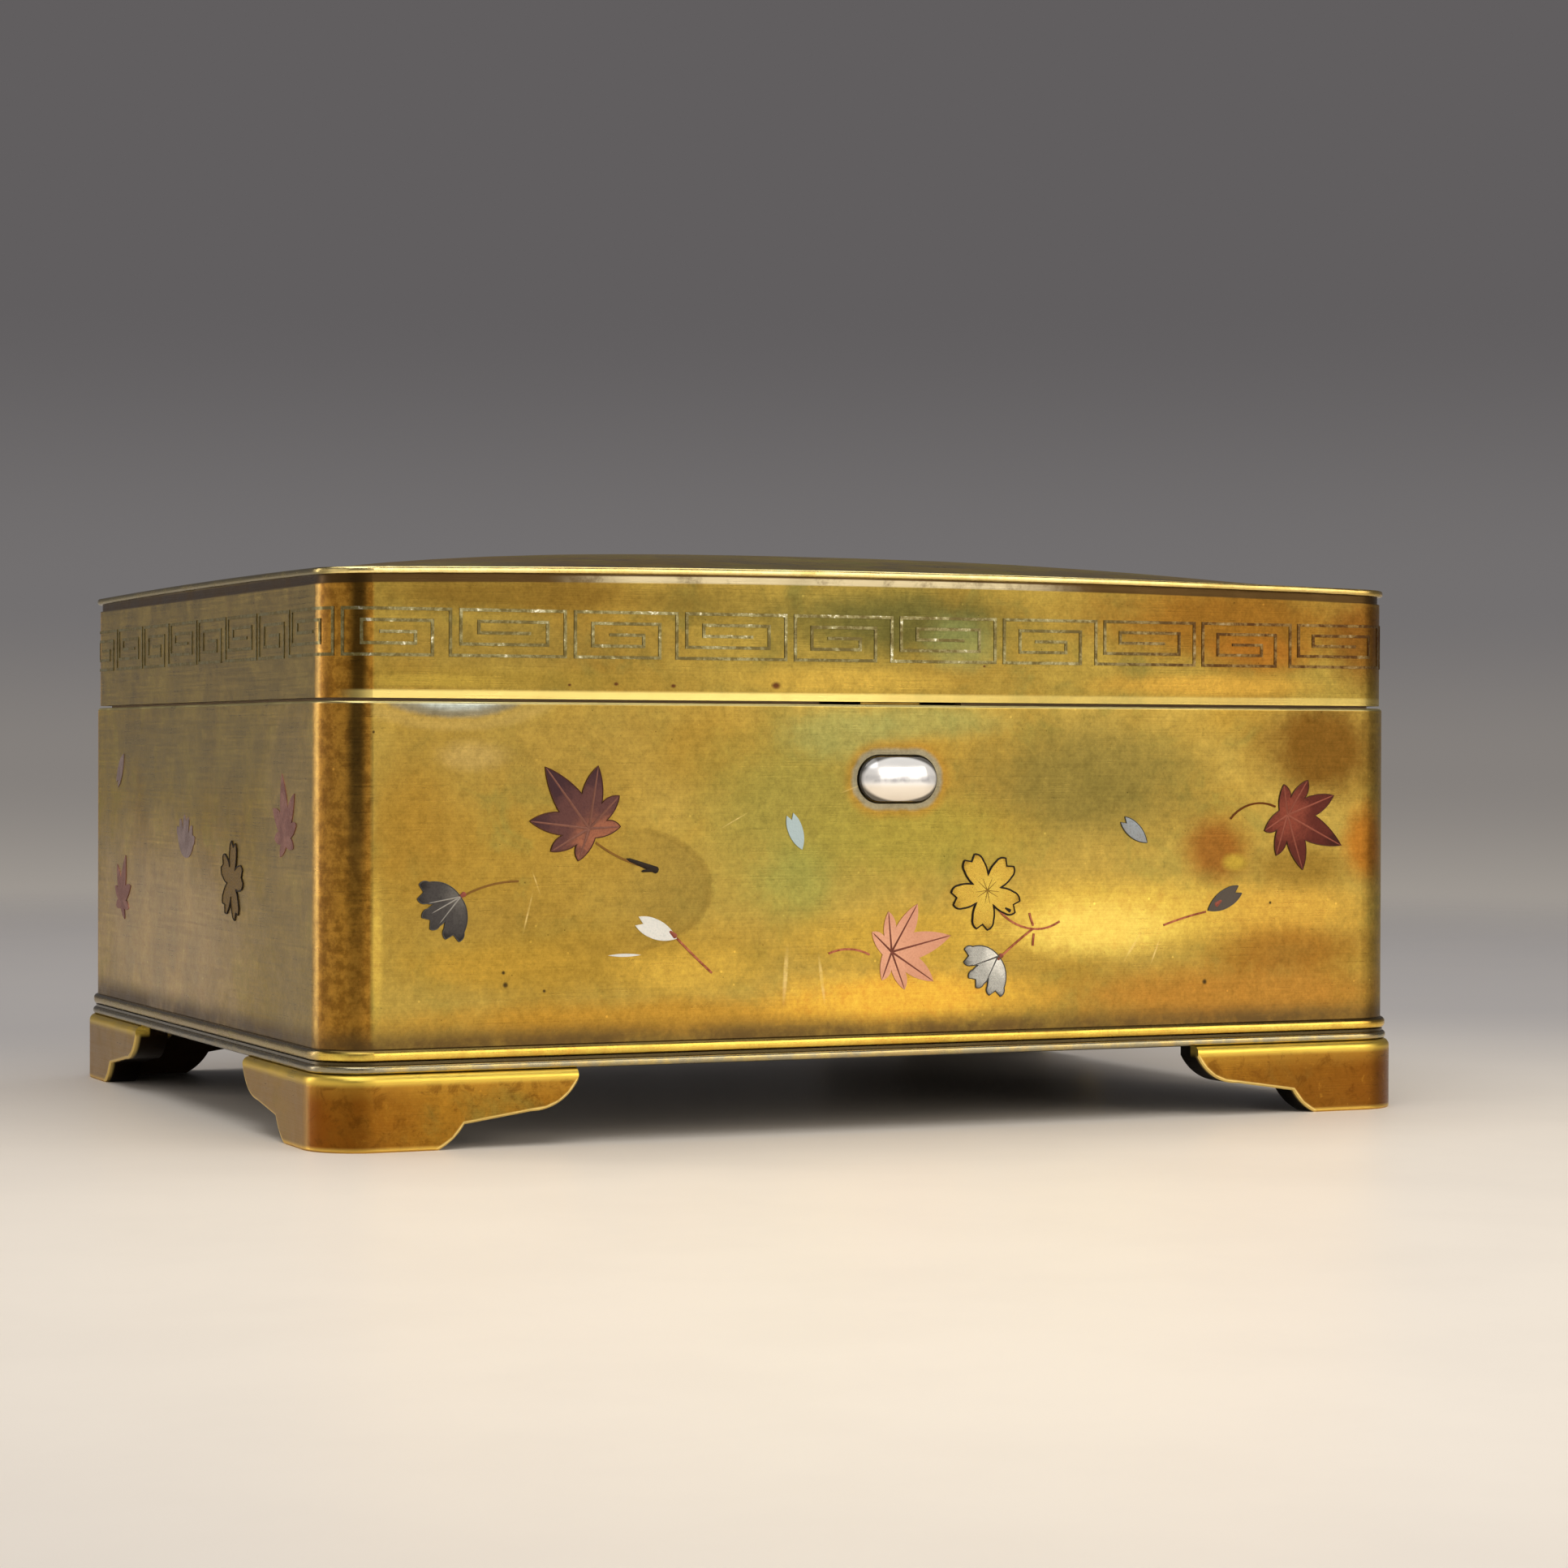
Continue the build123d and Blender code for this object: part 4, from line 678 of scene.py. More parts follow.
steel, given, result = new_group(
    "drawn_metal",
    {"Place": "vector", "Bare": "colour", "Stained": "colour", "Shine": "number"},
    SURFACE,
)
drawn = steel.noise(steel.stretch(given["Place"], (3.0, 0.4, 3.0)), 1.0, 4.0, 0.7)
film = steel.noise(given["Place"], 0.35, 4.0, 0.6, 0.5)
steel.feed(result["Colour"], steel.mix(steel.fade(film, 0.42, 0.7), given["Bare"], given["Stained"]))
steel.feed(result["Roughness"], steel.plus(given["Shine"], steel.fade(drawn, 0.3, 0.7, -0.05, 0.1)))
steel.feed(result["Relief"], drawn)


def drawn_finish(name, bare, stained, shine):
    """Metal as it comes from the rolls or the drawing bench, a little stained."""
    material, wiring, shader, place = new_finish(name, Metallic=1.0)
    tones = {"Bare": tone(bare), "Stained": tone(stained), "Shine": shine}
    made = use_group(wiring, "drawn_metal", {"Place": place, **tones})
    lay(wiring, shader, made["Colour"], made["Roughness"], made["Relief"], 0.01)
    return material


dress(drawn_finish("spring_steel", "b9bcc0", "6d6a64", 0.28), "stem_clip", "hinge_pin")
dress(drawn_finish("stem_brass", "c8a85a", "8f6e34", 0.3), "button_stem")
bronze_material = drawn_finish("spring_bronze", "c08a52", "8a5a34", 0.3)
print("hardware dressed")

# %% [markdown]
# ## The button
# A silver cabochon, rubbed bright by thumbs, with a little tarnish left round its flank. Its lower half
# has a cream painted reflection of the table, and a grey band across its middle is a painted reflection of
# the horizon. Worn silver has a fine white bloom, so it is made slightly less than fully metallic.

# %% Silver button
material, wiring, shader, place = new_finish("button_silver", Metallic=0.4)
_, depth_in, height = wiring.axes(place)
rubbed = wiring.noise(place, 0.5, 3.0, 0.5)
# a grey band across the middle: painted reflection of the horizon
horizon_reflection = wiring.times(wiring.band(height, BUTTON_MIDDLE.z, 0.9, 0.75), wiring.fade(rubbed, 0.4, 0.6, 0.4, 1.0))
oval = wiring.oval(place, BUTTON_MIDDLE, (BUTTON_STRAIGHT + BUTTON_ROUND, FAR, BUTTON_ROUND))
flank = wiring.fade(depth_in, WALL_FRONT - 0.5, WALL_FRONT - 0.1)
tarnish = wiring.math("MAXIMUM", flank, wiring.fade(oval, 0.93, 1.04))
# a cream lower half, painted reflection of the table, then the painted horizon band and the tarnish
colour = wiring.paint(
    tone("fdfcfa"),
    (wiring.fade(height, BUTTON_MIDDLE.z - 0.4, BUTTON_MIDDLE.z - 1.4), "f6ecdc"),
    (horizon_reflection, "a9a9ad"),
    (wiring.times(tarnish, 0.88), "3f3a32"),
)
lay(wiring, shader, colour, wiring.fade(rubbed, 0.3, 0.7, 0.18, 0.26), rubbed, 0.01)
dress(material, "push_button")
print("button dressed")

# %% [markdown]
# ## The fret
# The silver wire of the fret has gone dark. Short lengths of it, left of the middle, get painted glints: a
# pale highlight tone.

# %% Fret wire
material, wiring, shader, place = new_finish("fret_silver", Metallic=0.9)
across = wiring.axes(place)[0]
wear_and_highlight = wiring.noise(place, 0.3, 5.0, 0.72, 0.8)
grain = wiring.noise(place, 1.6, 3.0, 0.6)
wear_and_highlight = wiring.plus(wiring.times(wear_and_highlight, 0.65), wiring.times(grain, 0.35))
to_right = wiring.fade(across, 20.0, 60.0)
dark = wiring.mix(to_right, tone("6e6238"), tone("56391a"))
dull = wiring.mix(to_right, tone("918a60"), tone("7a6236"))
colour = wiring.mix(wiring.fade(wear_and_highlight, 0.44, 0.58), dark, dull)
# painted glints: a pale highlight tone where the noise is high, mostly left of the middle and not on the left face
glint = wiring.times(wiring.fade(wear_and_highlight, 0.57, 0.63), wiring.fade(across, 36.0, 0.0, 0.12, 1.0))
glint = wiring.times(glint, wiring.fade(across, -88.5, -84.0))
colour = wiring.mix(glint, colour, tone("dcd8c0"))
lay(wiring, shader, colour, wiring.fade(wear_and_highlight, 0.4, 0.62, 0.5, 0.28), grain, 0.03)
dress(material, "fret_front", "fret_back", "fret_left", "fret_right")
print("fret dressed")

# %% [markdown]
# ## Inlaid leaves and blossoms
# Each leaf is a thin sheet of copper alloy, patinated by pickling. The colour runs from a lighter heart,
# where the stem joins, to darker tips. The list says where each one lies on the front wall: middle in
# millimetres, size of its longest lobe, and its turn clockwise from upright.

# %% Inlay places and finishes
LEAVES = {
    "maple_plum": ((-50.1, 46.0), 11.3, -37),
    "maple_salmon": ((-0.9, 27.0), 10.3, 77),
    "maple_russet": ((69.1, 47.4), 11.2, 116),
}

patina, given, result = new_group(
    "patina",
    {"Place": "vector", "Centre": "vector", "Reach": "number", "Outwards": "number",
     "Heart": "colour", "Body": "colour", "Edge": "colour", "Shine": "number"},
    SURFACE,
)
cloud = patina.noise(given["Place"], 0.35, 4.0, 0.6, 0.6)
grain = patina.noise(given["Place"], 3.0, 3.0, 0.6)
away = patina.vector("DISTANCE", given["Place"], given["Centre"])
away = patina.wobble(patina.math("DIVIDE", away, given["Reach"]), cloud, 0.8)
rings = patina.mix(patina.fade(away, 0.1, 0.6), given["Heart"], given["Body"])
rings = patina.mix(patina.fade(away, 0.75, 1.1), rings, given["Edge"])
clouds = patina.mix(patina.fade(cloud, 0.35, 0.65), given["Heart"], given["Body"])
colour = patina.mix(given["Outwards"], clouds, rings)
patina.feed(result["Colour"], patina.mix(patina.fade(grain, 0.45, 0.75, 0.0, 0.3), colour, given["Edge"]))
patina.feed(result["Roughness"], patina.plus(given["Shine"], patina.fade(grain, 0.3, 0.7, -0.06, 0.1)))
patina.feed(result["Relief"], grain)
print("group", patina.tree.name, "has", len(patina.tree.nodes), "nodes")


def inlay_finish(name, heart, body, edge, reach=1.0, centre=None, metallic=0.75, shine=0.42):
    """Patinated metal that shades outwards from a centre on the front wall, or in clouds without one."""
    material, wiring, shader, place = new_finish(name, Metallic=metallic)
    x, z = centre or (0, 0)
    looks = {"Place": place, "Centre": (x, WALL_FRONT, z), "Reach": reach, "Outwards": 1.0 if centre else 0.0}
    looks |= {"Heart": tone(heart), "Body": tone(body), "Edge": tone(edge), "Shine": shine}
    made = use_group(wiring, "patina", looks)
    lay(wiring, shader, made["Colour"], made["Roughness"], made["Relief"])
    return material


# finish: heart, body and edge tones, reach, centre, metallic, shine; then the pieces that wear it
INLAYS = {
    "plum_copper": (("9c6248", "5e3c38", "40282c", 9.5, (-48.6, 44.2)), ["maple_plum"]),
    "salmon_copper": (("dba385", "d0977a", "b87a5c", 10.0, (-0.9, 27.0)), ["maple_salmon"]),
    "russet_copper": (("84402f", "5a251b", "3e1810", 9.5, (69.1, 47.4)), ["maple_russet"]),
    "blossom_gold": (("d2b44e", "c6a444", "8e6e26", 6.0, (15.3, 36.0), 0.9, 0.3),
                     ["blossom_gold", "left_blossom", "right_blossom", "back_blossom"]),
    "blossom_silver": (("dddcd4", "aaaaa4", "4e4e4c", 6.2, (17.5, 25.8), 0.9, 0.3), ["blossom_silver"]),
    "blossom_grey": (("66635e", "474443", "2a2828", 6.4, (-69.9, 36.4), 0.85, 0.4), ["blossom_grey"]),
    "petals_silver": (("d9d8d2", "cfcfca", "a3b5b8", 15.0, (-41.0, 30.5), 0.75, 0.35), ["petals_silver"]),
    "petals_grey": (("8f979c", "857f7a", "544c44", 13.0, (41.6, 47.5), 0.8, 0.4), ["petals_grey"]),
    "side_petals": (("a08c88", "8a7672", "5a4a48", 6.0, None, 0.8, 0.4), ["left_petals", "right_petals"]),
    "side_copper": (("a07468", "875c54", "5e3e3a"), ["left_leaves", "right_leaves", "back_leaves"]),
}
for name, (looks, pieces) in INLAYS.items():
    dress(inlay_finish(name, *looks), *pieces)

material, wiring, shader, place = new_finish("stem_copper", Metallic=0.9)
along = wiring.axes(place)[0]
grain = wiring.noise(place, 1.2, 4.0, 0.6)
colour = wiring.paint(
    tone("b06a4e"),
    (wiring.fade(grain, 0.4, 0.65), "8a4a34"),
    (wiring.fade(along, -36.0, -38.0), "7d5a2a"),
    (wiring.fade(along, 50.0, 58.0), "5e3414"),
)
lay(wiring, shader, colour, wiring.fade(grain, 0.3, 0.7, 0.32, 0.5), grain)
dress(material, "stems_copper")
print("inlays dressed")

# %% [markdown]
# The engraver then cut a dark line round most of the shapes. The line follows the edge exactly, so it is
# taken from the shape itself: its face is copied, everything but the outline is dropped, and the outline
# is given the thickness of a fine wire half let into the wall.

# %% Engraved outlines
LINE_STEPS = 2  # how finely the round section of a line is cut
SHARP = 50  # degrees; gentler edges are shaded smooth
FACING = 0.9  # cosine within which a face counts as looking the same way
MERGE = 0.005


def plain_metal(name, code, shade):
    """Metal of one tone, with a darker grain."""
    return inlay_finish(name, code, code, shade, metallic=0.7, shine=0.45)


def only(*things):
    """Selects these objects and makes the first one active."""
    bpy.ops.object.select_all(action="DESELECT")
    for thing in things:
        thing.select_set(True)
    bpy.context.view_layer.objects.active = things[0]


def finish_detail(piece, name, material):
    """Names a piece, gives it its finish and lets it ride on the case."""
    piece.name = name
    piece.data.materials.clear()
    piece.data.materials.append(material)
    bpy.ops.object.shade_smooth_by_angle(angle=radians(SHARP))
    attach(piece, "case")


def outline_of(node, name, thickness, material, facing=(0, -1, 0)):
    """A thin wire along the outer edge of a node's face."""
    copy = nodes[node].copy()
    copy.data = nodes[node].data.copy()
    bpy.context.scene.collection.objects.link(copy)
    copy.parent = None
    for key in list(copy.keys()):
        del copy[key]
    copy.name = name
    only(copy)
    bpy.ops.object.mode_set(mode="EDIT")
    bpy.ops.mesh.select_mode(type="FACE")
    bpy.ops.object.mode_set(mode="OBJECT")
    for face in copy.data.polygons:
        face.select = face.normal.dot(Vector(facing)) < FACING
    bpy.ops.object.mode_set(mode="EDIT")
    bpy.ops.mesh.delete(type="FACE")
    bpy.ops.mesh.select_all(action="SELECT")
    bpy.ops.mesh.remove_doubles(threshold=MERGE * MM)
    bpy.ops.mesh.select_mode(type="EDGE")
    bpy.ops.mesh.select_all(action="SELECT")
    bpy.ops.mesh.region_to_loop()
    bpy.ops.mesh.select_all(action="INVERT")
    bpy.ops.mesh.delete(type="EDGE_FACE")
    bpy.ops.mesh.select_all(action="SELECT")
    bpy.ops.mesh.delete(type="ONLY_FACE")
    bpy.ops.object.mode_set(mode="OBJECT")
    bpy.ops.object.convert(target="CURVE")
    curve = bpy.context.object
    curve.data.bevel_depth = thickness / 2 * MM
    curve.data.bevel_resolution = LINE_STEPS
    bpy.ops.object.convert(target="MESH")
    line = bpy.context.object
    finish_detail(line, name, material)
    print(name, "has", len(line.data.polygons), "faces")


black_line = plain_metal("black_line", "2a2118", "14100c")
grey_line = plain_metal("grey_line", "55534f", "3a3835")
brown_line = plain_metal("brown_line", "5a3626", "3e241a")
outline_of("blossom_gold", "gold_blossom_line", 0.28, black_line)
outline_of("left_blossom", "left_blossom_line", 0.22, black_line, (-1, 0, 0))
outline_of("right_blossom", "right_blossom_line", 0.22, black_line, (1, 0, 0))
outline_of("back_blossom", "back_blossom_line", 0.22, black_line, (0, 1, 0))
outline_of("blossom_silver", "silver_blossom_line", 0.18, grey_line)
outline_of("blossom_grey", "grey_blossom_line", 0.16, grey_line)
outline_of("petals_grey", "grey_petals_line", 0.14, grey_line)
outline_of("maple_plum", "plum_leaf_line", 0.18, brown_line)
outline_of("maple_russet", "russet_leaf_line", 0.15, brown_line)

# %% [markdown]
# ## Veins
# A vein is a narrow tapered ridge. One is modelled from a short cone: its root is rounded and its tip is
# drawn out to a point, and copies fan out from the heart of each leaf.

# %% Veins and petal lines
VEIN_SIDES = 8
TIP_PUSH, TIP_WIDTH = 0.12, 0.15  # how far the tip is drawn out, of the vein's length, and how thin
ROOT_PUSH, ROOT_WIDTH = 0.25, 0.5  # the same for the root, of the vein's width
LOBES = [(0, 0.9), (46, 0.74), (-46, 0.74), (82, 0.53), (-82, 0.53), (124, 0.38), (-124, 0.38)]


def vein(start, turn, length, width, rise):
    """One tapered ridge on the front wall, from start towards a clockwise turn in degrees."""
    x, z = start
    angle = radians(turn)
    middle = Vector((x + sin(angle) * length / 2, INLAY_FACE, z + cos(angle) * length / 2)) * MM
    bpy.ops.object.select_all(action="DESELECT")
    bpy.ops.mesh.primitive_cone_add(
        vertices=VEIN_SIDES, radius1=width / 2 * MM, radius2=width / 4 * MM, depth=length * MM,
        location=middle, rotation=(0, angle, 0), scale=(1, rise / width, 1),
    )
    made = bpy.context.object
    bpy.ops.object.transform_apply(location=True, rotation=True, scale=True)
    along = Vector((sin(angle), 0, cos(angle)))
    towards = {face.index: face.normal.dot(along) for face in made.data.polygons}
    ends = {round(value): index for index, value in towards.items() if abs(value) > FACING}
    for side, push, shrink in ((1, TIP_PUSH * length, TIP_WIDTH), (-1, ROOT_PUSH * width, ROOT_WIDTH)):
        for face in made.data.polygons:
            face.select = face.index == ends[side]
        for edge in made.data.edges:
            edge.select = False
        rim = set(made.data.polygons[ends[side]].vertices)
        for vertex in made.data.vertices:
            vertex.select = vertex.index in rim
        bpy.ops.object.mode_set(mode="EDIT")
        bpy.ops.mesh.select_mode(type="FACE")
        bpy.ops.mesh.extrude_region_move(TRANSFORM_OT_translate={"value": along * side * push * MM})
        bpy.ops.transform.resize(value=(shrink, shrink, shrink))
        bpy.ops.object.mode_set(mode="OBJECT")
    return made


def vein_set(name, veins, material):
    """Joins several veins into one piece; each is (start, turn, length, width, rise)."""
    made = [vein(*one) for one in veins]
    only(*made)
    if len(made) > 1:
        bpy.ops.object.join()
    bpy.ops.object.origin_set(type="ORIGIN_CURSOR")
    finish_detail(bpy.context.object, name, material)
    print(name, "joins", len(veins), "veins")


def leaf_veins(leaf, name, width, rise, material):
    """A vein for each lobe of a leaf."""
    centre, size, tilt = LEAVES[leaf]
    vein_set(name, [(centre, tilt + turn, size * reach, width, rise) for turn, reach in LOBES], material)


def folds(name, heart, tilt, turns, length, material):
    """The folds of a half-open blossom, fanned out from its heart."""
    vein_set(name, [(heart, tilt + turn, length, 0.26, 0.1) for turn in turns], material)


leaf_veins("maple_salmon", "salmon_veins", 0.34, 0.12, plain_metal("salmon_line", "7c4436", "5c3026"))
leaf_veins("maple_russet", "russet_veins", 0.4, 0.1, plain_metal("russet_line", "8e4e3c", "7a3e30"))
leaf_veins("maple_plum", "plum_veins", 0.45, 0.1, plain_metal("plum_line", "7e5446", "684238"))
pale_line = plain_metal("pale_line", "96928a", "6f6c66")
folds("silver_blossom_folds", (17.2, 25.9), 230, (-23, 23), 4.2, grey_line)
folds("grey_blossom_folds", (-69.9, 36.3), 234, (-14, 8, 26), 4.4, pale_line)

# %% [markdown]
# Small things finish the flowers: stamens in the gold blossom, a copper calyx where each stem joins, and
# the plum leaf's stem, which swells into a black tip.

# %% Stamens, calyxes and stem tip
GOLD_HEART = (15.4, 36.1)
STAMENS = [(36 + 72 * petal + turn, 2.3 - 0.4 * abs(turn) / 12) for petal in range(5) for turn in (-12, 12)]
CALYXES = [((-36.4, 30.0), -50, 1.1), ((56.0, 33.3), 55, 1.1), ((-69.3, 36.7), 240, 1.0), ((17.9, 26.1), 225, 0.9)]
stamen_line = plain_metal("stamen_line", "8a6a24", "5e4618")
calyx_copper = plain_metal("calyx_copper", "8e4c3c", "6a352a")
vein_set("gold_stamens", [(GOLD_HEART, turn, length, 0.16, 0.08) for turn, length in STAMENS], stamen_line)
vein_set("calyxes", [(*calyx, 0.8, 0.12) for calyx in CALYXES], calyx_copper)
vein_set("plum_stem_tip", [((-39.4, 39.8), -70, 4.6, 1.05, 0.2), ((-39.6, 39.9), -96, 2.0, 0.7, 0.18)], black_line)
vein_set("gold_branch_tip", [((19.3, 32.9), -60, 0.9, 0.6, 0.12)], black_line)

# %% [markdown]
# ## The spring of the catch
# A flat bronze spring is riveted to the case and pushed back by the button, so it has to bend between
# the two. It is a strip with a small nose, cut finely along its height.

# %% Catch spring
LEAF_LOW, LEAF_HIGH = box("catch_leaf")
NOSE = 2.2
NOSE_SIZE = Vector((6.0, NOSE, 0.9))
NOSE_LOW = 60.3
STRIP_CUTS = 16
STRIP_FRONT = LEAF_LOW.y + NOSE
SOFT_EDGE = 0.12


def block(middle, size):
    """A plain block; both values in millimetres."""
    bpy.ops.object.select_all(action="DESELECT")
    bpy.ops.mesh.primitive_cube_add(size=1, location=middle * MM, scale=size * MM)
    bpy.ops.object.transform_apply(location=True, rotation=True, scale=True)
    return bpy.context.object


strip_size = LEAF_HIGH - Vector((LEAF_LOW.x, STRIP_FRONT, LEAF_LOW.z))
spring = block(Vector((0, STRIP_FRONT + strip_size.y / 2, (LEAF_LOW.z + LEAF_HIGH.z) / 2)), strip_size)
spring.name = "catch_spring"
bpy.ops.object.mode_set(mode="EDIT")
for step in range(1, STRIP_CUTS):
    bpy.ops.mesh.select_all(action="SELECT")
    level = (LEAF_LOW.z + strip_size.z * step / STRIP_CUTS) * MM
    bpy.ops.mesh.bisect(plane_co=(0, 0, level), plane_no=(0, 0, 1))
bpy.ops.object.mode_set(mode="OBJECT")
nose = block(Vector((0, STRIP_FRONT - NOSE / 2, NOSE_LOW + NOSE_SIZE.z / 2)), NOSE_SIZE)
only(spring, nose)
bpy.ops.object.join()
bevel = spring.modifiers.new("soft_edges", "BEVEL")
bevel.width, bevel.segments = SOFT_EDGE * MM, 2
bpy.ops.object.modifier_apply(modifier=bevel.name)
bpy.ops.object.origin_set(type="ORIGIN_CURSOR")
spring.data.materials.append(bronze_material)
bpy.ops.object.shade_smooth_by_angle(angle=radians(40))
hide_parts("catch_leaf")
thick = spring.dimensions.y
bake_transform(spring)
print("spring", [round(v / MM, 2) for v in spring.dimensions])

# %% [markdown]
# ## Inside the box
# The lining is paulownia, a pale straight-grained wood, and the trays are a darker one. Both use one
# group: rings stretched along the board, with fine pores.

# %% Wood
wood, given, result = new_group(
    "board_wood",
    {"Place": "vector", "Pale": "colour", "Dark": "colour", "Shine": "number"},
    SURFACE,
)
sway = wood.noise(wood.stretch(given["Place"], (0.008, 0.03, 0.03)), 1.0, 2.0, 0.5)
shift = wood.add("CombineXYZ", {1: wood.times(sway, 5.0), 2: wood.times(sway, 4.0)}).outputs[0]
bent = wood.vector("ADD", given["Place"], shift)
rings = wood.noise(wood.stretch(bent, (0.006, 0.8, 0.8)), 1.0, 3.0, 0.6)
pores = wood.noise(wood.stretch(given["Place"], (0.25, 5.0, 5.0)), 1.0, 2.0, 0.6)
colour = wood.mix(wood.fade(rings, 0.34, 0.7, 0.0, 0.8), given["Pale"], given["Dark"])
colour = wood.mix(wood.fade(pores, 0.55, 0.75, 0.0, 0.45), colour, given["Dark"])
wood.feed(result["Colour"], colour)
wood.feed(result["Roughness"], wood.plus(given["Shine"], wood.fade(pores, 0.4, 0.7, -0.03, 0.1)))
wood.feed(result["Relief"], wood.minus(rings, wood.times(pores, 0.6)))


def wood_finish(name, pale, dark, shine, turn=0.0):
    """Wood whose grain runs along x, or along y when turned by a quarter."""
    material, wiring, shader, place = new_finish(name)
    place = wiring.stretch(place, (1, 1, 1), (0, 0, turn))
    made = use_group(wiring, "board_wood", {"Place": place, "Pale": tone(pale), "Dark": tone(dark), "Shine": shine})
    lay(wiring, shader, made["Colour"], made["Roughness"], made["Relief"], 0.05)
    return material


PAULOWNIA = ("c6a680", "ab8862", 0.6)
TRAY_WOOD = ("6a4228", "4a2b18", 0.42)
ACROSS = ["liner_floor", "lid_liner_top", "liner_front", "liner_back", "lid_liner_front", "lid_liner_back"]
ALONG = ["liner_left", "liner_right", "lid_liner_left", "lid_liner_right"]
dress(wood_finish("paulownia_across", *PAULOWNIA), *ACROSS)
dress(wood_finish("paulownia_along", *PAULOWNIA, pi / 2), *ALONG)
dress(wood_finish("tray_wood", *TRAY_WOOD, pi / 2), "centre_board", "tray_left", "tray_right")
print("wood dressed")

# %% [markdown]
# The fittings: a slate ink stone worn smooth where ink is ground, a dark copper water dropper, brushes
# with bamboo shafts and hair tips, and a moulded stick of ink.

# %% Fittings
STONE_TOP = box("inkstone")[1].z
TIP_BACK = box("brush_tips")[1].y
JOINT_START, JOINT_STEP = 18.0, 31.0  # the rings along a bamboo shaft

material, wiring, shader, place = new_finish("ink_slate", Specular_IOR_Level=0.45)
bed = wiring.noise(wiring.stretch(place, (0.08, 0.05, 0.4)), 1.0, 5.0, 0.65, 0.5)
colour = wiring.paint(
    tone("3a3d42"),
    (wiring.fade(bed, 0.35, 0.7), "4e5256"),
    (wiring.times(wiring.spots(place, 0.8, 0.1), 0.4), "7a7f82"),
    (wiring.fade(wiring.axes(place)[2], STONE_TOP - 0.5, STONE_TOP - 3.5, 0.0, 0.85), "16171a"),
)
lay(wiring, shader, colour, wiring.fade(bed, 0.3, 0.7, 0.35, 0.6), bed, 0.08)
dress(material, "inkstone")

dress(drawn_finish("dropper_copper", "7e4a34", "5c3626", 0.34), "water_dropper")

material, wiring, shader, place = new_finish("bamboo")
streak = wiring.noise(wiring.stretch(place, (3.0, 0.05, 3.0)), 1.0, 4.0, 0.6)
along = wiring.plus(wiring.axes(place)[1], JOINT_START)
joint = wiring.fade(wiring.math("PINGPONG", along, JOINT_STEP), 1.2, 0.2)
streaks = wiring.fade(streak, 0.35, 0.7)
colour = wiring.paint(tone("c9a468"), (streaks, "a57c42"), (wiring.times(joint, 0.7), "6a4a22"))
lay(wiring, shader, colour, wiring.fade(streak, 0.3, 0.7, 0.3, 0.45), wiring.plus(streak, joint), 0.1)
dress(material, "brush_shafts")

material, wiring, shader, place = new_finish("brush_hair", Sheen_Weight=0.3)
hair = wiring.noise(wiring.stretch(place, (9.0, 0.12, 9.0)), 1.0, 3.0, 0.7)
inky = wiring.fade(wiring.axes(place)[1], TIP_BACK - 15.0, TIP_BACK - 3.0)
colour = wiring.paint(tone("e0d2b4"), (wiring.fade(hair, 0.35, 0.7), "a8906a"), (inky, "1c1a1a"))
lay(wiring, shader, colour, wiring.fade(hair, 0.3, 0.7, 0.55, 0.8), hair, 0.15)
dress(material, "brush_tips")

material, wiring, shader, place = new_finish("ink_cake", Specular_IOR_Level=0.4)
crumb = wiring.noise(place, 0.8, 5.0, 0.65)
colour = wiring.paint(tone("121214"), (wiring.fade(crumb, 0.35, 0.7), "2a292b"))
lay(wiring, shader, colour, wiring.fade(crumb, 0.3, 0.7, 0.3, 0.6), crumb, 0.08)
dress(material, "ink_stick")
print("fittings dressed")

# %% [markdown]
# ## Table, backdrop and light
# The box stands on a pale sheet that melts into a grey backdrop. The light falls on the sheet just in
# front of the box, and a pool of light is also painted into the sheet's colour there, so the sheet is palest
# there and greys outwards. The backdrop is the world itself: a grey that darkens upwards, seen by the camera
# and by the metal, while the soft light that it gives to everything else stays even.

# %% Table
SHEET_RADIUS, SHEET_SIDES, SHEET_RIM = 0.9, 96, 0.3
SHEET_MIDDLE = (0.0, 0.1, 0.0)
MELT_START, MELT_END = 0.5, 0.98  # of the radius: between them the sheet melts away
bpy.ops.object.select_all(action="DESELECT")
bpy.ops.mesh.primitive_circle_add(
    vertices=SHEET_SIDES, radius=SHEET_RADIUS, fill_type="NGON", location=SHEET_MIDDLE,
)
sheet = bpy.context.object
sheet.name = "table_sheet"
bpy.ops.object.mode_set(mode="EDIT")
bpy.ops.mesh.select_all(action="SELECT")
bpy.ops.mesh.inset(thickness=SHEET_RADIUS * SHEET_RIM)
bpy.ops.object.mode_set(mode="OBJECT")
bpy.ops.object.transform_apply(location=True, rotation=True, scale=True)
material, wiring, shader, place = new_finish("pale_table", Roughness=0.4, Specular_IOR_Level=0.3)
paper = wiring.noise(place, 0.03, 4.0, 0.6)
POOL_MIDDLE, POOL_REACH, POOL_END = (0.0, -200.0, 0.0), 100.0, 400.0
away = wiring.vector("DISTANCE", place, POOL_MIDDLE)
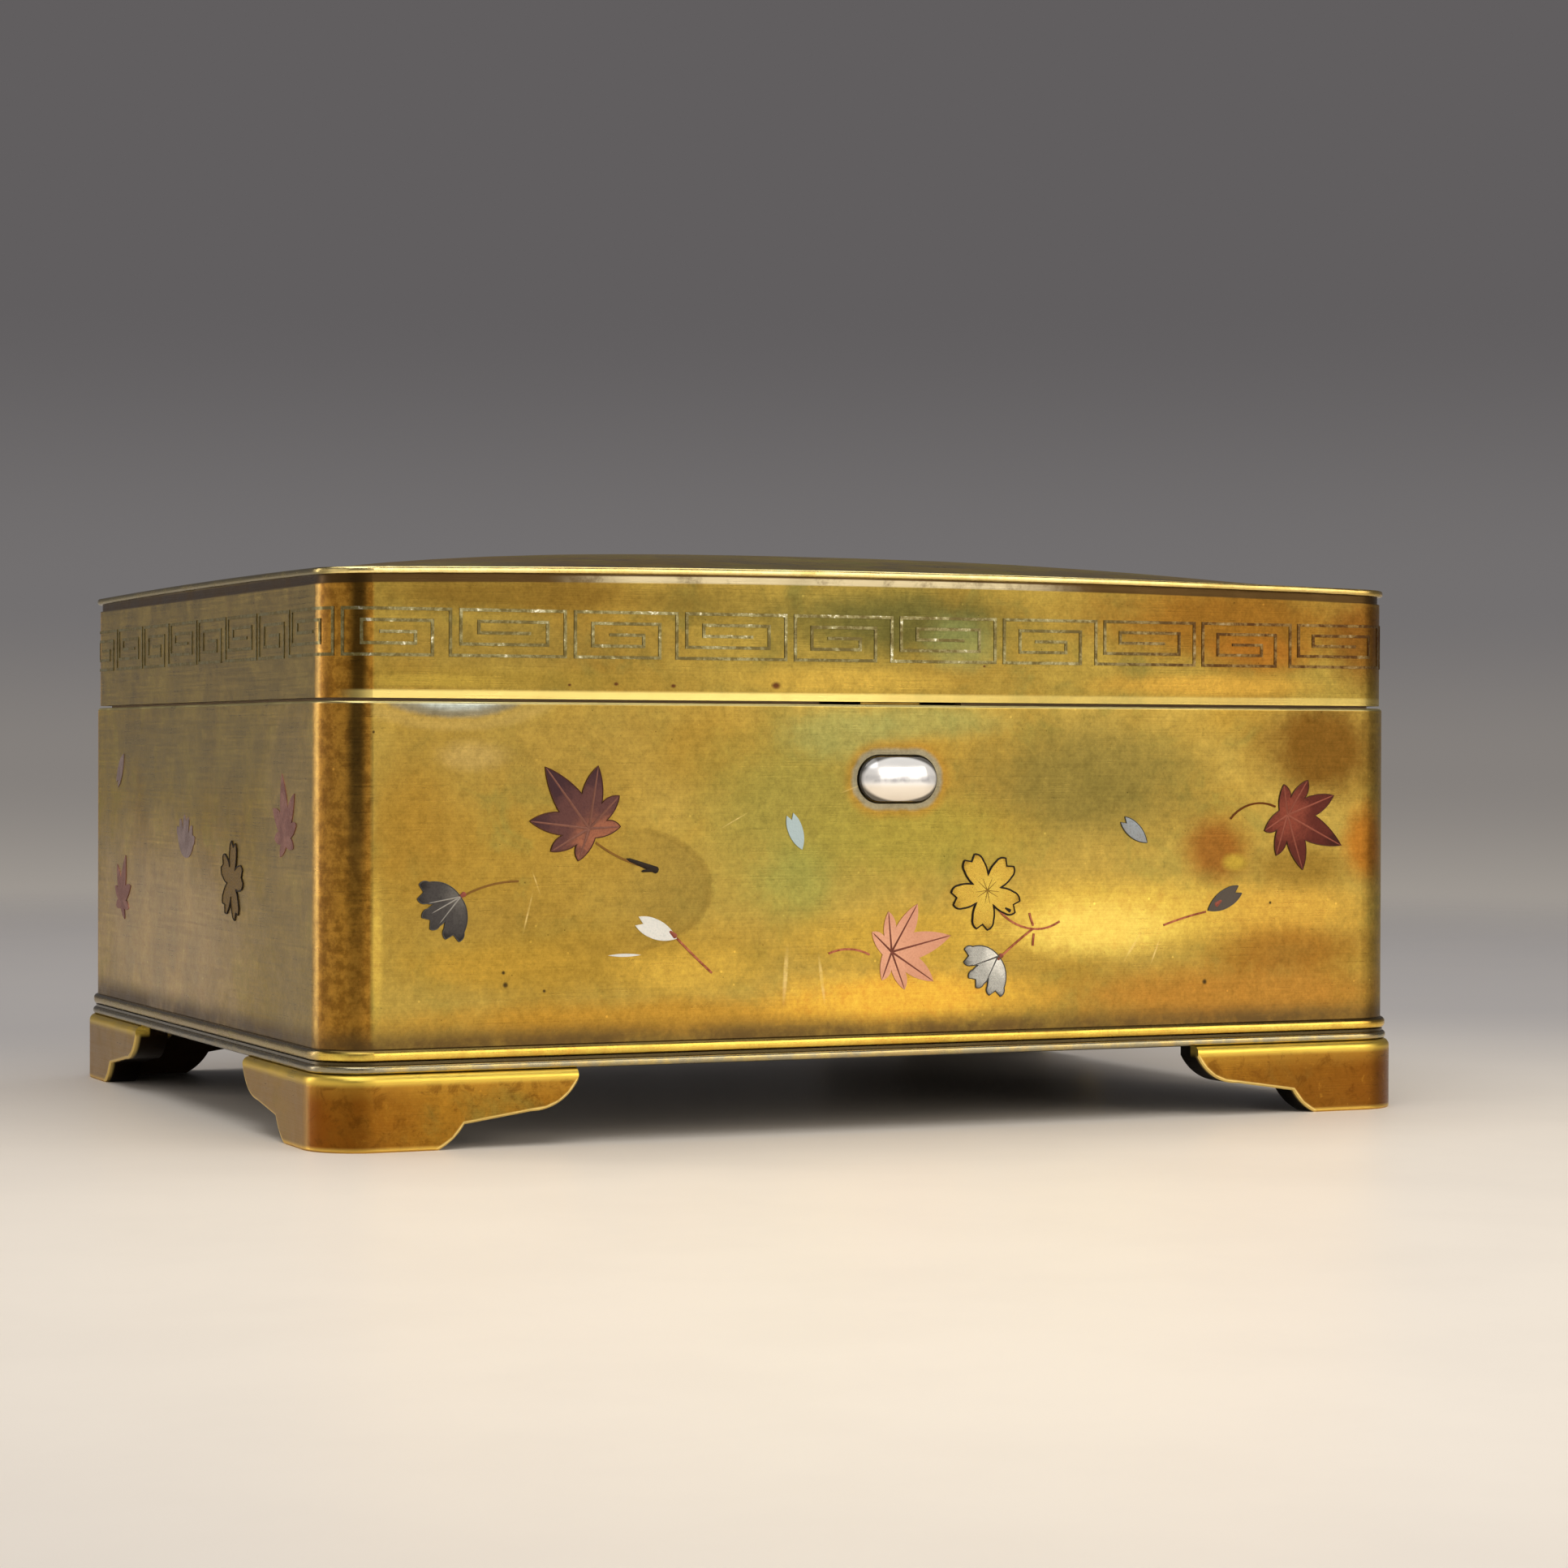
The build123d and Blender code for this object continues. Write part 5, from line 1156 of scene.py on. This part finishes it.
# a pool of light painted into the sheet: palest just in front of the box, greying outwards
colour = wiring.paint(
    tone("f2e7d8"),
    (wiring.fade(away, POOL_REACH, POOL_END), "b2adaa"),
    (wiring.fade(paper, 0.35, 0.7, 0.0, 0.07), "c4bab0"),
)
lay(wiring, shader, colour)
away = wiring.vector("DISTANCE", place, Vector(SHEET_MIDDLE) / MM)
melt = wiring.fade(away, SHEET_RADIUS * MELT_START / MM, SHEET_RADIUS * MELT_END / MM, 1.0, 0.0)
wiring.feed(shader.inputs["Alpha"], melt)
sheet.data.materials.append(material)
print("table sheet", round(SHEET_RADIUS * 2, 2), "m across")

# %% World
world = bpy.data.worlds.new("studio")
bpy.context.scene.world = world
world.use_nodes = True
wiring = Wiring(world.node_tree)
background = world.node_tree.nodes["Background"]
direction = wiring.add("TexCoord").outputs["Generated"]
rise = wiring.axes(direction)[2]
# from this rise to that one the backdrop turns to a tone
BACKDROP = [(-0.075, -0.055, "a69f97"), (-0.055, -0.005, "85807c"), (-0.005, 0.04, "737070"),
            (0.04, 0.12, "615e5f")]
seen = wiring.paint(tone("b0a8a0"), *((wiring.fade(rise, low, high), code) for low, high, code in BACKDROP))
rays = wiring.add("LightPath").outputs
shown = wiring.math("MAXIMUM", rays["Is Camera Ray"], rays["Is Glossy Ray"])
shown = wiring.math("MAXIMUM", shown, rays["Is Transmission Ray"])
wiring.feed(background.inputs["Color"], wiring.mix(shown, tone("acacac"), seen))
background.inputs["Strength"].default_value = 1.0

# %% Lamps
# place, what it looks at, size, watts and colour
LAMPS = {
    "window": ((0.56, -1.0, 0.40), (0.0, 0.0, 0.04), (0.9, 0.7), 5.0, "fff6ea"),
    "overhead": ((0.0, 0.05, 1.0), (0.0, 0.0, 0.0), (1.1, 0.8), 5.0, "ffffff"),
    "front_high": ((-0.25, -0.7, 1.0), (0.0, -0.1, 0.0), (0.8, 0.6), 4.0, "ffffff"),
    "left": ((-0.84, 0.6, 0.3), (0.0, 0.0, 0.04), (0.12, 0.8), 1.5, "fff4e4"),
    "left_wall": ((-1.1, 0.42, 0.22), (0.0, 0.0, 0.04), (1.6, 0.8), 2.0, "fdf1ea"),
    "left_front": ((-0.95, -0.5, 0.25), (0.0, 0.0, 0.04), (0.7, 0.7), 0.6, "fff6ea"),
}
for name, (where, target, (width, tall), watts, code) in LAMPS.items():
    bpy.ops.object.light_add(type="AREA", location=where)
    lamp = bpy.context.object
    lamp.name = name
    lamp.data.shape = "RECTANGLE"
    lamp.data.size, lamp.data.size_y = width, tall
    lamp.data.energy = watts
    lamp.data.color = tone(code)[:3]
    lamp.rotation_euler = (Vector(target) - Vector(where)).to_track_quat("-Z", "Y").to_euler()
print("lamps:", ", ".join(LAMPS))

# %% Update the scene
bpy.context.view_layer.update()
